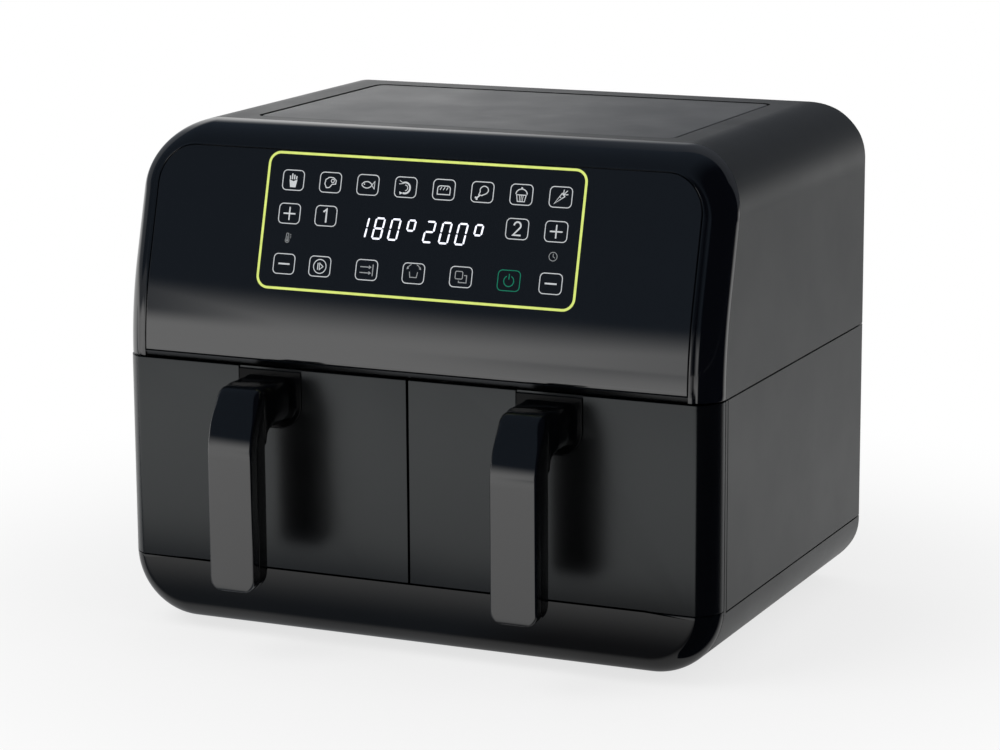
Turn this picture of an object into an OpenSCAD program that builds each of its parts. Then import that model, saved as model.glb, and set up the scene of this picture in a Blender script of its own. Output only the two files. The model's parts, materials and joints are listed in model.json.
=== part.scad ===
// Two-drawer hot-air fryer: separate named pieces in one frame.
// X to the right, Y to the back, Z up. The feet stand on Z = 0.

/* [Body] */
// Width of the body over the two side faces
body_width = 380; // [300:1:460]
// Depth of the body from the drawer faces to the back wall
body_depth = 268.8; // [220:0.1:340]
// Height of the body without its feet
body_height = 300; // [240:1:360]
// Radius of the rubber feet
foot_radius = 11; // [6:0.5:16]
// Distance of the feet from the front and rear faces
foot_inset = 36; // [20:1:80]
// Height of the rubber feet below the body
foot_height = 5; // [2:0.5:12]
// Rounding of the two upper body corners, seen from the front
top_radius = 39.5; // [20:0.5:60]
// Rounding of the two lower body corners, seen from the front
base_radius = 41; // [20:0.5:60]
// Rounding of the upright rear edges and of the top rear edge
rear_radius = 7; // [2:0.5:20]
// Wall of the plastic shells
shell_wall = 2.6; // [1.5:0.1:4]
// Height of the seam between lower and upper housing above the body's base
seam_height = 162; // [130:1:200]
// Height of the drawers' lower edge above the body's base
drawer_base_height = 39.3; // [25:0.1:60]
// Gap between a tongue and the wall it stands in
seat_gap = 0.15; // [0.05:0.05:0.5]
// How far the lower side panels wrap round the rear edges
rear_wrap = 24; // [16:1:40]
// Thickness of the tongues behind the seams, from the outer wall's inner face
tongue = 2.0; // [1:0.1:4]
// How far the upper housing's tongue drops into the lower housing
tongue_drop = 6; // [2:0.5:12]
// Visible gap along the seams
seam_gap = 1.0; // [0.4:0.1:2]

/* [Front] */
// Width of the rounded bevel round the front
bevel_width = 11; // [4:0.5:20]
// Depth of the bevel at the sides
bevel_depth = 17.4; // [6:0.1:30]
// Extra depth of the bevel along the top edge
bevel_top_extra = 12.5; // [0:0.1:20]
// Radius of the upright curve where the front starts to lean back
lean_radius = 209; // [80:1:400]
// Angle that the control panel leans back
lean_angle = 15.8; // [5:0.1:30]
// Width of the glossy rim left beside the control fascia
fascia_side_margin = 5; // [2:0.5:12]
// Width of the glossy rim left above the control fascia
fascia_top_margin = 1; // [0.5:0.5:12]
// Height of the rim left under the control fascia
fascia_sill = 4; // [2:0.5:12]
// Thickness of the control fascia
fascia_thickness = 2.4; // [1:0.1:4]
// Depth of the pocket that holds the fascia
fascia_pocket = 3.0; // [1.5:0.1:5]
// Gap round the fascia
fascia_gap = 0.5; // [0.2:0.1:1]

/* [Top panel] */
// Half width of the inset top panel
panel_half_width = 136; // [80:1:160]
// Distance of the panel's front edge from the drawer faces
panel_front = 73.3; // [60:0.1:120]
// Distance of the panel's rear edge from the drawer faces
panel_rear = 244.6; // [150:0.1:255]
// Corner radius of the inset panel
panel_corner = 8; // [2:0.5:20]
// Groove round the inset panel
panel_groove = 1.4; // [0.3:0.1:2]
// Depth of the recess for the panel
panel_recess = 3.0; // [1:0.1:4]
// Thickness of the inset panel
panel_thickness = 2.0; // [1:0.1:4]

/* [Handles] */
// Reach of the handles in front of the drawer faces
handle_reach = 52.2; // [35:0.1:70]
// Distance of a handle's middle from the body's middle
handle_centre = 89.7; // [60:0.1:110]
// Width of the grip
grip_width = 28.5; // [20:0.1:45]
// Depth of the grip, front to back
grip_depth = 20.8; // [12:0.1:32]
// Height of the grip's lower end above the body's base
grip_base_height = 38.2; // [20:0.1:60]
// Height where the grip starts to lean back
grip_bend_height = 124; // [90:1:140]
// Height of the handle's top
handle_top_height = 157; // [140:0.5:161]
// Thickness of the front cover of the grip
cover_thickness = 7.6; // [3:0.1:12]
// Width of the neck
neck_width = 33; // [25:0.5:42]
// Height of the neck, top to bottom
neck_height = 27; // [14:0.5:30]
// Rounding of the neck's upper corners, seen from the front
neck_top_corner = 5.5; // [2:0.5:10]
// Rounding of the neck's lower corners, seen from the front
neck_low_corner = 10; // [2:0.5:14]
// Width of the plate behind the neck
plate_width = 41; // [34:0.5:50]
// Length of that plate below the seam
plate_length = 36; // [28:0.5:50]
// Rounding of the plate's lower corners
plate_radius = 15; // [4:0.5:20]
// How far the plate stands proud of the drawer face
plate_proud = 0.4; // [0.1:0.1:2]
// Rounding of the grip's lower corners, seen from the front
grip_corner = 7; // [2:0.5:14]
// Rounding of the grip's upper corners, seen from the front
grip_shoulder = 5; // [1:0.5:10]
// Rounding of the grip's lower rear edge, seen from the side
grip_heel = 12; // [3:0.5:15]

/* [Drawers] */
// Gap between a chamber liner and the housing's side wall
liner_side_gap = 11.4; // [6:0.1:20]
// Gap between a chamber liner and the body's middle
liner_middle_gap = 8; // [6:0.5:14]
// Gap between a pan and the liner on each side, with the sheet
pan_side_gap = 5; // [4:0.5:10]
// Length of a pan, front to back
pan_length = 190; // [150:1:210]
// Wall of a pan
pan_wall = 1.6; // [0.8:0.1:3]
// Corner radius of a pan
pan_corner = 18; // [8:1:30]
// Height of a pan
pan_height = 110; // [80:1:114]
// Gap under a pan
pan_floor_gap = 0.5; // [0.3:0.1:1]
// Height of the crisper plate above the pan's underside
plate_level = 18; // [10:0.5:30]
// Thickness of the crisper plate
crisper_thickness = 1.5; // [0.8:0.1:3]
// Gap between the crisper plate and the pan wall
crisper_gap = 1.5; // [1:0.1:3]
// Gap between a silicone bumper and the pan wall
bumper_gap = 0.35; // [0.3:0.05:1]

/* [Air system] */
// Distance of the fan axis from the drawer faces
fan_axis_depth = 118; // [90:1:140]
// Radius of the hot-air fan
hot_fan_radius = 48; // [30:1:60]
// Radius of the motor's cooling fan
cooling_fan_radius = 26; // [18:1:30]
// Radius of the fan shaft
shaft_radius = 3; // [2:0.1:5]
// Radial running clearance of the shaft in the motor
shaft_clearance = 0.05; // [0.01:0.01:0.1]
// Radius of the motor can
motor_radius = 28; // [20:1:34]
// Radius of the heating tube
element_radius = 3.2; // [2:0.1:5]
// Sheet thickness of the chamber liners
liner_sheet = 1.0; // [0.5:0.1:2]
// Radius of the cord gland's bore
gland_bore = 3.8; // [2:0.1:6]

/* [Hidden] */
eps = 0.01;
big = 900;
y0 = -(handle_reach + body_depth + 1.0) / 2 + handle_reach;
yb = y0 + body_depth;
z0 = foot_height;
zt = z0 + body_height;
zs = z0 + seam_height;
zd = z0 + drawer_base_height;
half_gap = seam_gap / 2;
arc_y = y0 + lean_radius;
lean_z = zs + lean_radius * sin(lean_angle);
lean_y = arc_y - lean_radius * cos(lean_angle);
face_top = zt - bevel_width;
crown_z = zt - top_radius;
liner_half = (body_width / 2 - shell_wall - liner_side_gap - liner_middle_gap) / 2;
drawer_centre = liner_middle_gap + liner_half;
pan_width = 2 * (liner_half - pan_side_gap);
liner_floor = zd + 2.1;
pan_base = liner_floor + liner_sheet + pan_floor_gap;
pan_top = pan_base + pan_height;
frame_front = y0 + bevel_depth + 0.8;
frame_back = frame_front + 2.8;
pan_front = y0 + bevel_depth;
pan_back = pan_front + pan_length;
liner_back = pan_back + 12;
liner_top = zs + 38;
shield_top = liner_top + 1.0;
crisper_z = pan_base + plate_level;
fan_y = y0 + fan_axis_depth;
bracket_z = shield_top + 14;
motor_base = bracket_z + 2;
motor_top = motor_base + 26;
$fn = 96;

// Position of the front surface at height z, without any bevel.
function front_y(z) =
    z <= zs ? y0
  : z <= lean_z ? arc_y - sqrt(lean_radius * lean_radius - (z - zs) * (z - zs))
  : lean_y + (z - lean_z) * tan(lean_angle);

// Position of the bevel's outer edge at height z.
function bevel_y(z) =
    front_y(z) + bevel_depth
  + bevel_top_extra * pow(max(0, (z - crown_z) / top_radius), 2);

// Part of the bevel's depth used at inset t.
bevel_r = (bevel_width * bevel_width + bevel_depth * bevel_depth) / (2 * bevel_width);
function bevel_run(t) =
    (bevel_depth - sqrt(bevel_r * bevel_r - (bevel_r - t) * (bevel_r - t))) / bevel_depth;

module along_x(width) {
    rotate([90, 0, 90]) linear_extrude(height = width, center = true) children();
}

module along_y(from, to) {
    translate([0, to, 0]) rotate([90, 0, 0]) linear_extrude(height = to - from) children();
}

module both_sides() {
    children();
    mirror([1, 0, 0]) children();
}

// Front outline of the body, drawn in at t.
module front_outline(t) {
    rt = top_radius - t;
    rb = base_radius - t;
    w = body_width / 2 - t;
    translate([-w, z0 + base_radius]) square([2 * w, zt - top_radius - z0 - base_radius]);
    translate([-(w - rb), z0 + t]) square([2 * (w - rb), rb + 1]);
    translate([-(w - rt), zt - top_radius - 1]) square([2 * (w - rt), rt + 1]);
    for (s = [-1, 1]) {
        translate([s * (w - rb), z0 + base_radius]) circle(rb);
        translate([s * (w - rt), zt - top_radius]) circle(rt);
    }
}

// Side outline behind the bevel's outer edge, with the rounded top rear edge.
edge_steps = 24;
module behind_bevel(shift, t) {
    r = rear_radius - t > 0.5 ? rear_radius - t : 0.5;
    intersection() {
        polygon(concat(
            [[yb + 20, z0 - 5], [y0 + bevel_depth + shift, z0 - 5]],
            [for (i = [0 : edge_steps]) let (z = zs + (zt + 2 - zs) * i / edge_steps)
                [bevel_y(z) + shift, z]],
            [[yb + 20, zt + 2]]));
        union() {
            translate([y0 - 5, z0 - 10]) square([yb - t - y0 + 5, zt - t - z0 + 10 - r]);
            translate([y0 - 5, z0 - 10]) square([yb - t - r - y0 + 5, zt - t - z0 + 10]);
            translate([yb - t - r, zt - t - r]) circle(r);
        }
    }
}

// Plan outline with rounded rear edges.
module plan_outline(t) {
    r = rear_radius - t > 0.5 ? rear_radius - t : 0.5;
    w = body_width / 2 - t;
    translate([-w, y0 - 1]) square([2 * w, yb - t - r - y0 + 1]);
    translate([-(w - r), y0 - 1]) square([2 * (w - r), yb - t - y0 + 1]);
    for (s = [-1, 1]) translate([s * (w - r), yb - t - r]) circle(r);
}

module body_solid(shift, t) {
    intersection() {
        along_y(y0 + bevel_depth - 5, yb + 5) front_outline(t);
        along_x(body_width + 20) behind_bevel(shift, t);
        translate([0, 0, z0 - 5]) linear_extrude(height = body_height + 10) plan_outline(t);
    }
}

module rounded_plan(w, y1, y2, r, z1, z2) {
    translate([0, 0, z1]) linear_extrude(height = z2 - z1) {
        translate([-w, y1 + r]) square([2 * w, y2 - y1 - 2 * r]);
        translate([-w + r, y1]) square([2 * (w - r), y2 - y1]);
        for (s = [-1, 1], y = [y1 + r, y2 - r]) translate([s * (w - r), y]) circle(r);
    }
}

// Sheet of thickness t that follows the plain front surface.
module front_sheet(width, t) {
    ty = arc_y - lean_radius * cos(lean_angle);
    run = 160;
    n = [cos(lean_angle), -sin(lean_angle)];
    u = [sin(lean_angle), cos(lean_angle)];
    translate([width / 2, arc_y, zs]) rotate([90, 0, -90])
        rotate_extrude(angle = lean_angle, $fn = 360)
        translate([lean_radius - t, 0]) square([t, width]);
    along_x(width)
        polygon([[ty, lean_z], [ty, lean_z] + run * u, [ty, lean_z] + run * u + t * n, [ty, lean_z] + t * n]);
}

// ---------------------------------------------------------------- shells

upper_vent_w = 64;
upper_vent_z = zs + 52;
upper_vent_h = 52;

module upper_housing() color([0.09, 0.09, 0.095]) {
    difference() {
        union() {
            difference() {
                body_solid(0.3, 0);
                body_solid(-40, shell_wall);
                translate([-big / 2, -big / 2, -10]) cube([big, big, zs + half_gap + 10]);
            }
            // tongue that stands inside the lower housing
            intersection() {
                difference() {
                    body_solid(1, shell_wall + seat_gap);
                    body_solid(-40, shell_wall + tongue);
                }
                translate([-big / 2, frame_back + 6.5, zs - tongue_drop])
                    cube([big, big, tongue_drop + 4]);
            }
            intersection() {
                difference() {
                    body_solid(1, 0.5);
                    body_solid(-40, shell_wall + tongue);
                }
                translate([-big / 2, frame_back + 6.5, zs + half_gap + 0.2]) cube([big, big, 4 - half_gap - 0.2]);
            }
            intersection() {
                body_solid(1, 1);
                rounded_plan(panel_half_width + 6, y0 + panel_front - 6, y0 + panel_rear + 6,
                    panel_corner + 4, zt - panel_recess - 2.6, zt - 1.5);
            }
        }
        rounded_plan(panel_half_width, y0 + panel_front, y0 + panel_rear, panel_corner,
            zt - panel_recess, zt + 2);
        translate([-upper_vent_w, yb - 10, upper_vent_z]) cube([2 * upper_vent_w, 20, upper_vent_h]);
        for (x = [-1, 1], z = [0, 1])
            translate([x * (upper_vent_w + 5), yb - 10, upper_vent_z + upper_vent_h / 2 + (z - 0.5) * 30])
                rotate([-90, 0, 0]) cylinder(r = 1.55, h = 20, $fn = 32);
    }
}

module top_panel() color([0.16, 0.165, 0.17]) {
    rounded_plan(panel_half_width - panel_groove, y0 + panel_front + panel_groove,
        y0 + panel_rear - panel_groove, panel_corner - panel_groove,
        zt - panel_recess, zt - panel_recess + panel_thickness);
}

side_panel_base = zd - 0.8;
side_panel_top = zs - half_gap;
wrap_x = body_width / 2 - rear_wrap;

// Side panel of the lower shell; it wraps round the upright rear edge.
module side_panel() {
    intersection() {
        difference() {
            body_solid(-10, 0);
            body_solid(-40, shell_wall);
        }
        translate([wrap_x + 0.15, frame_back + 1.0, side_panel_base])
            cube([big, big, side_panel_top - side_panel_base]);
    }
    // lap behind the edge of the rear panel
    translate([wrap_x - 7, yb - shell_wall - 2.0, side_panel_base + 5])
        cube([14, 1.9, side_panel_top - side_panel_base - tongue_drop - 7]);
    translate([wrap_x + 0.4, yb - shell_wall - 2.0, side_panel_base + 5])
        cube([6.6, 2.6, side_panel_top - side_panel_base - tongue_drop - 7]);
}
module side_panel_right() color([0.085, 0.085, 0.09]) side_panel();
module side_panel_left() color([0.085, 0.085, 0.09]) mirror([1, 0, 0]) side_panel();

module rear_panel() color([0.085, 0.085, 0.09]) {
    difference() {
        translate([-wrap_x + 0.15, yb - shell_wall, side_panel_base])
            cube([2 * wrap_x - 0.3, shell_wall, side_panel_top - side_panel_base]);
        translate([gland_x, yb - 10, gland_z]) rotate([-90, 0, 0]) cylinder(r = 9, h = 20);
    }
}

module base_tray() color([0.085, 0.085, 0.09]) {
    difference() {
        union() {
            intersection() {
                difference() {
                    body_solid(-10, 0);
                    body_solid(-40, shell_wall);
                }
                translate([-big / 2, frame_back, 0]) cube([big, big, side_panel_base - 1.0]);
            }
            // upright lip that the side panels stand on
            intersection() {
                difference() {
                    body_solid(-10, shell_wall + 0.1);
                    body_solid(-40, shell_wall + 2.0);
                }
                translate([-big / 2, frame_back + 0.2, side_panel_base - 9])
                    cube([big, yb - frame_back - 4, 13]);
            }
            intersection() {
                difference() {
                    body_solid(-10, 0.5);
                    body_solid(-40, shell_wall + 2.0);
                }
                translate([-big / 2, frame_back + 0.2, side_panel_base - 9])
                    cube([big, yb - frame_back - 0.2, 8 - eps]);
            }
            for (p = boss_spots) translate([p[0], p[1], z0 + 1]) cylinder(r = 5, h = liner_floor - z0 - 1, $fn = 48);
        }
        for (p = boss_spots) translate([p[0], p[1], z0 - 1]) {
            cylinder(r = 4.2, h = 4, $fn = 48);
            cylinder(r = 1.6, h = 32, $fn = 32);
        }
        for (p = foot_spots) translate([p[0], p[1], z0 - 1]) cylinder(r = 4.05, h = 8, $fn = 48);
        // air slots in the floor under each chamber
        for (s = [-1, 1], i = [-4 : 4])
            translate([s * drawer_centre - 30, y0 + 115 + i * 9 - 1.5, z0 - 1]) cube([60, 3, 8]);
    }
}

boss_spots = [for (s = [-1, 1], x = [-liner_half + 34, liner_half - 64], y = [pan_front + 32, pan_back - 18])
    [s * (drawer_centre + x), y]];
foot_spots = [for (s = [-1, 1], y = [y0 + foot_inset + 8, yb - foot_inset])
    [s * (body_width / 2 - base_radius - foot_radius - 1), y]];

module housing_screws() color([0.55, 0.56, 0.58]) {
    for (p = boss_spots) translate([p[0], p[1], z0 + 1.1]) {
        difference() {
            cylinder(r = 3.6, h = 1.9, $fn = 48);
            for (a = [0, 90]) rotate([0, 0, a]) translate([-2, -0.35, -1]) cube([4, 0.7, 2]);
        }
        cylinder(r = 1.55, h = 28, $fn = 32);
    }
}

module rubber_feet() color([0.05, 0.05, 0.05]) {
    for (p = foot_spots) translate([p[0], p[1], 0]) {
        rotate_extrude() polygon([[0, 0], [foot_radius - 1, 0], [foot_radius, 0.8], [foot_radius - 0.5, z0], [4, z0],
            [4, z0 + 5], [0, z0 + 5]]);
    }
}

// Lower front skirt with the bevel round its two corners.
skirt_top = zd - half_gap;
bevel_steps = 8;
function bevel_points(steps) = [for (i = [0 : steps]) let (t = bevel_width * (1 - pow(i / steps, 1.6)))
    [t, bevel_run(t) * bevel_depth]];

module front_skirt() color([0.02, 0.02, 0.022]) {
    difference() {
        intersection() {
            union() {
                // straight lower edge
                translate([0, y0, z0]) rotate([90, 0, 90])
                    linear_extrude(height = body_width - 2 * base_radius, center = true)
                    polygon([for (p = concat([[base_radius, 0]], bevel_points(bevel_steps),
                        [[0, bevel_depth], [base_radius, bevel_depth]])) [p[1], p[0]]]);
                // two round corners
                for (s = [-1, 1])
                    translate([s * (body_width / 2 - base_radius), y0, z0 + base_radius])
                    rotate([-90, 0, 0]) rotate_extrude()
                    polygon([for (p = concat([[base_radius - eps, 0]], bevel_points(bevel_steps),
                        [[0, bevel_depth], [base_radius - eps, bevel_depth]])) [base_radius - p[0], p[1]]]);
            }
            translate([-big / 2, y0 - 5, 0]) cube([big, 60, skirt_top]);
        }
        // hollow behind the face
        intersection() {
            along_y(y0 + shell_wall, y0 + 60) union() {
                translate([-(body_width / 2 - 14), z0 + base_radius])
                    square([body_width - 28, 60]);
                translate([-(body_width / 2 - base_radius), z0 + 12])
                    square([body_width - 2 * base_radius, 60]);
                for (s = [-1, 1]) translate([s * (body_width / 2 - base_radius), z0 + base_radius])
                    circle(base_radius - 13);
            }
            translate([-big / 2, y0 - 5, 0]) cube([big, 90, skirt_top - 2.4]);
        }
    }
}

// Frame round the two drawer mouths.
mouth_half = pan_width / 2 + 2;
mouth_base = liner_floor + liner_sheet;
mouth_top = zs - 4.5;
module front_frame() color([0.085, 0.085, 0.09]) {
    difference() {
        union() {
            intersection() {
                along_y(frame_front, frame_back) front_outline(0);
                translate([-big / 2, frame_front - 1, 0]) cube([big, 30, zs - half_gap]);
            }
            // tongues behind the side grooves
            for (s = [-1, 1]) translate([s * (body_width / 2 - shell_wall - 0.1 - 1.3) - 1.3,
                frame_back - eps, side_panel_base + 4.5]) cube([2.6, 5, zs - half_gap - side_panel_base - 6]);
        }
        for (s = [-1, 1])
            translate([s * drawer_centre - mouth_half, frame_front - 5, mouth_base])
                cube([2 * mouth_half, 30, mouth_top - mouth_base]);
        for (s = [-1, 1]) translate([s * plunger_x, frame_front - 5, plunger_z])
            rotate([-90, 0, 0]) cylinder(r = 2.0, h = 20, $fn = 48);
    }
}

// Bevelled bezel round the control fascia, lofted along the leaning front.
side_n = 10;
corner_n = 9;
function path_u() = concat(
    [for (i = [0 : side_n]) [0, i / side_n]],
    [for (i = [1 : corner_n]) [1, i / corner_n]],
    [for (i = [0 : corner_n]) [2, i / corner_n]],
    [for (i = [1 : side_n]) [3, i / side_n]]);
// The rim above the fascia is narrower than at its sides, so inset lines past
// the bevel are raised by this much at the top.
function rim_lift(t) = (fascia_side_margin - fascia_top_margin)
    * max(0, min(1, (t - bevel_width) / fascia_side_margin));
// Point of the front outline at inset t; u is piece number and position in it.
function outline_point(u, t) =
    let (w = body_width / 2 - t, r = top_radius - t, base = zs + half_gap,
         rr = r > 0.5 ? r : 0.5, crown = crown_z + rim_lift(t), top = zt - t + rim_lift(t))
    u[0] == 0 ? [-w, base + (crown - base) * u[1]]
  : u[0] == 1 ? [-(w - rr) - rr * cos(90 * u[1]), top - rr + rr * sin(90 * u[1])]
  : u[0] == 2 ? [(w - rr) + rr * sin(90 * u[1]), top - rr + rr * cos(90 * u[1])]
  : [w, crown - (crown - base) * u[1]];
rim_in = bevel_width + fascia_side_margin;
lip_in = rim_in + 7;
// Section of the bezel as [inset, kind, amount]: kind 0 is measured from the
// plain front, kind 1 is part way along the bevel.
bezel_section = concat(
    [[rim_in, 0, 0], [bevel_width, 1, 0]],
    [for (f = [0.8, 0.6, 0.42, 0.26, 0.12, 0.03, 0]) [bevel_width * f, 1, bevel_run(bevel_width * f)]],
    [[shell_wall, 1, 1], [shell_wall, 1, 0.78], [bevel_width * 0.62 + shell_wall, 0, 6.2],
     [lip_in, 0, fascia_pocket + 2], [lip_in, 0, fascia_pocket], [rim_in, 0, fascia_pocket]]);
function bezel_point(u, s) =
    let (p = outline_point(u, s[0]), f = front_y(p[1]))
    [p[0], s[1] == 0 ? f + s[2] : f + (bevel_y(p[1]) - f) * s[2], p[1]];

module bezel_ring() {
    us = path_u();
    n = len(us);
    m = len(bezel_section);
    pts = [for (s = bezel_section) for (u = us) bezel_point(u, s)];
    faces = concat(
        [for (j = [0 : m - 1]) for (i = [0 : n - 2])
            [j * n + i, ((j + 1) % m) * n + i, j * n + i + 1]],
        [for (j = [0 : m - 1]) for (i = [0 : n - 2])
            [j * n + i + 1, ((j + 1) % m) * n + i, ((j + 1) % m) * n + i + 1]],
        [[for (j = [m - 1 : -1 : 0]) j * n]],
        [[for (j = [0 : m - 1]) j * n + n - 1]]);
    polyhedron(points = pts, faces = faces, convexity = 10);
}

module front_bezel() color([0.02, 0.02, 0.022]) {
    bezel_ring();
    // sill under the fascia
    difference() {
        translate([-(body_width / 2 - rim_in + 3), y0 + 0.02, zs + half_gap + 0.02])
            cube([body_width - 2 * rim_in + 6, fascia_pocket + 2.9, fascia_sill - half_gap + 5]);
        translate([-big / 2, y0 - 1, zs + fascia_sill])
            cube([big, fascia_pocket + 1, 20]);
    }
}

module control_fascia() color([0.015, 0.015, 0.018]) {
    t = rim_in + fascia_gap;
    r = top_radius - t;
    w = body_width / 2 - t;
    shoulder = zt - t - r + rim_lift(t);
    intersection() {
        front_sheet(body_width, fascia_thickness);
        along_y(y0 - 10, y0 + 120) {
            translate([-w, zs + fascia_sill + fascia_gap])
                square([2 * w, shoulder - zs - fascia_sill - fascia_gap]);
            translate([-w + r, shoulder - 1]) square([2 * (w - r), r + 1]);
            for (s = [-1, 1]) translate([s * (w - r), shoulder]) circle(r);
        }
    }
}

// ---------------------------------------------------------------- rear

gland_x = -(body_width / 2 - 62);
gland_z = z0 + 62;
gland_length = 16;
module cord_gland() color([0.06, 0.06, 0.06]) {
    translate([gland_x, 0, gland_z]) rotate([-90, 0, 0]) difference() {
        union() {
            translate([0, 0, yb - gland_length]) cylinder(r = 8.8, h = gland_length);
            translate([0, 0, yb]) cylinder(r = 11, h = 1.0);
            translate([0, 0, yb - shell_wall - 2]) cylinder(r = 10.4, h = 2);
        }
        translate([0, 0, yb - gland_length - 1]) cylinder(r = gland_bore, h = gland_length + 4);
    }
}

vent_slats = 7;
module rear_vent_grille() color([0.075, 0.075, 0.08]) {
    difference() {
        translate([-(upper_vent_w + 9), yb, upper_vent_z - 4])
            cube([2 * upper_vent_w + 18, 1.0, upper_vent_h + 8]);
        translate([-(upper_vent_w - 1.5), yb - 1, upper_vent_z + 1.5])
            cube([2 * upper_vent_w - 3, 5, upper_vent_h - 3]);
        for (x = [-1, 1], z = [0, 1])
            translate([x * (upper_vent_w + 5), yb - 1, upper_vent_z + upper_vent_h / 2 + (z - 0.5) * 30])
                rotate([-90, 0, 0]) cylinder(r = 2.7, h = 4, $fn = 32);
    }
    // slats
    for (i = [0 : vent_slats - 1])
        translate([-(upper_vent_w - 1), yb - 3.2, upper_vent_z + 3.5 + i * (upper_vent_h - 4) / vent_slats])
            cube([2 * upper_vent_w - 2, 3.8, 2.6]);
    for (x = [-1, 0, 1]) translate([x * (upper_vent_w - 2) - 1, yb - 3.6, upper_vent_z + 0.6])
        cube([2, 4.2, upper_vent_h - 1.2]);
}

module grille_screws() color([0.5, 0.5, 0.52]) {
    for (x = [-1, 1], z = [0, 1])
        translate([x * (upper_vent_w + 5), yb - 8, upper_vent_z + upper_vent_h / 2 + (z - 0.5) * 30])
            rotate([-90, 0, 0]) {
                cylinder(r = 1.5, h = 8.1, $fn = 32);
                translate([0, 0, 8]) cylinder(r = 2.6, h = 0.9, $fn = 32);
            }
}

// ---------------------------------------------------------------- chambers

module liner() {
    x1 = drawer_centre - liner_half;
    w = 2 * liner_half;
    fx = drawer_centre;
    difference() {
        translate([x1, frame_back, liner_floor]) cube([w, liner_back - frame_back, liner_top - liner_floor]);
        translate([x1 + liner_sheet, frame_back - 1, liner_floor + liner_sheet])
            cube([w - 2 * liner_sheet, liner_back - liner_sheet - frame_back + 1, mouth_top - liner_floor - liner_sheet]);
        translate([x1 + liner_sheet, frame_back + liner_sheet, liner_floor + liner_sheet])
            cube([w - 2 * liner_sheet, liner_back - 2 * liner_sheet - frame_back,
                liner_top - liner_floor - 2 * liner_sheet]);
        translate([fx, fan_y, liner_top - 5]) cylinder(r = 6, h = 10);
        for (a = terminal_spots) translate([fx + a, fan_y + 60, liner_top - 5]) cylinder(r = 4.2, h = 10, $fn = 48);
        translate([fx - 62, fan_y + 40, liner_top - 5]) cylinder(r = 2.2, h = 10, $fn = 48);
        // hot air leaves through the back wall
        for (i = [-3 : 3]) translate([fx - 50, liner_back - 5, liner_top - 24 + i * 4 - 0.9])
            cube([100, 10, 1.8]);
    }
    // guide ribs beside the pan
    for (s = [-1, 1], z = [pan_base + 30, pan_base + 85])
        translate([fx + s * (pan_width / 2 + 0.5) + (s < 0 ? -4.5 + 0.2 : 0), frame_back + 6, z])
            cube([4.3, liner_back - frame_back - 20, 3]);
}
terminal_spots = [-9, 9];

module chamber_liner_right() color([0.62, 0.63, 0.64]) liner();
module chamber_liner_left() color([0.62, 0.63, 0.64]) mirror([1, 0, 0]) liner();

module heater_baffle() {
    x1 = drawer_centre - liner_half + liner_sheet;
    w = 2 * (liner_half - liner_sheet);
    z = zs + 5.5;
    difference() {
        translate([x1, frame_back + liner_sheet, z]) cube([w, liner_back - frame_back - 2 * liner_sheet, 1.2]);
        translate([drawer_centre, fan_y, z - 1]) cylinder(r = 62, h = 4);
        for (i = [-3 : 3]) translate([drawer_centre - 60, liner_back - 8, z - 1])
            translate([i * 17 + 60 - 6, -6, 0]) cube([12, 5, 4]);
    }
    for (r = [22, 42]) translate([drawer_centre, fan_y, z]) difference() {
        cylinder(r = r + 1, h = 1.2);
        translate([0, 0, -1]) cylinder(r = r - 1, h = 4);
    }
    for (a = [30, 90, 150]) translate([drawer_centre, fan_y, z]) rotate([0, 0, a])
        translate([-62.5, -1, 0]) cube([125, 2, 1.2]);
}
module heater_baffles() color([0.6, 0.61, 0.62]) both_sides() heater_baffle();

module ring_tube(radius) {
    rotate_extrude() translate([radius, 0]) circle(element_radius, $fn = 32);
}
element_z = zs + 15;
module heating_element() {
    translate([drawer_centre, fan_y, element_z]) {
        for (r = [28, 40, 52]) ring_tube(r);
        // bridges between the turns, and the two terminals
        rotate([0, 0, 90]) rotate([0, 90, 0]) translate([0, 0, 28]) cylinder(r = element_radius - 0.4, h = 24, $fn = 32);
        for (a = terminal_spots) translate([a, 60, 0]) {
            cylinder(r = element_radius, h = shield_top + 6 - element_z, $fn = 32);
            rotate([90, 0, 0]) cylinder(r = element_radius - 0.3, h = 12, $fn = 32);
            translate([0, 0, shield_top - element_z]) cylinder(r = 5, h = 2.5, $fn = 32);
            translate([0, 0, liner_top - 4 - element_z]) cylinder(r = 5.2, h = 3, $fn = 32);
            sphere(element_radius, $fn = 32);
        }
    }
}
module heating_element_right() color([0.35, 0.34, 0.33]) heating_element();
module heating_element_left() color([0.35, 0.34, 0.33]) mirror([1, 0, 0]) heating_element();

module heat_shield() color([0.68, 0.69, 0.7]) {
    difference() {
        translate([-(drawer_centre + liner_half + 2), frame_back + 2, liner_top])
            cube([2 * (drawer_centre + liner_half + 2), liner_back - frame_back + 8, 1.0]);
        for (s = [-1, 1]) {
            translate([s * drawer_centre, fan_y, liner_top - 1]) cylinder(r = 7, h = 4);
            for (a = terminal_spots) translate([s * (drawer_centre + a), fan_y + 60, liner_top - 1])
                cylinder(r = 4.2, h = 4, $fn = 48);
            translate([s * (drawer_centre - 62), fan_y + 40, liner_top - 1]) cylinder(r = 2.2, h = 4, $fn = 48);
        }
    }
}

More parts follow.
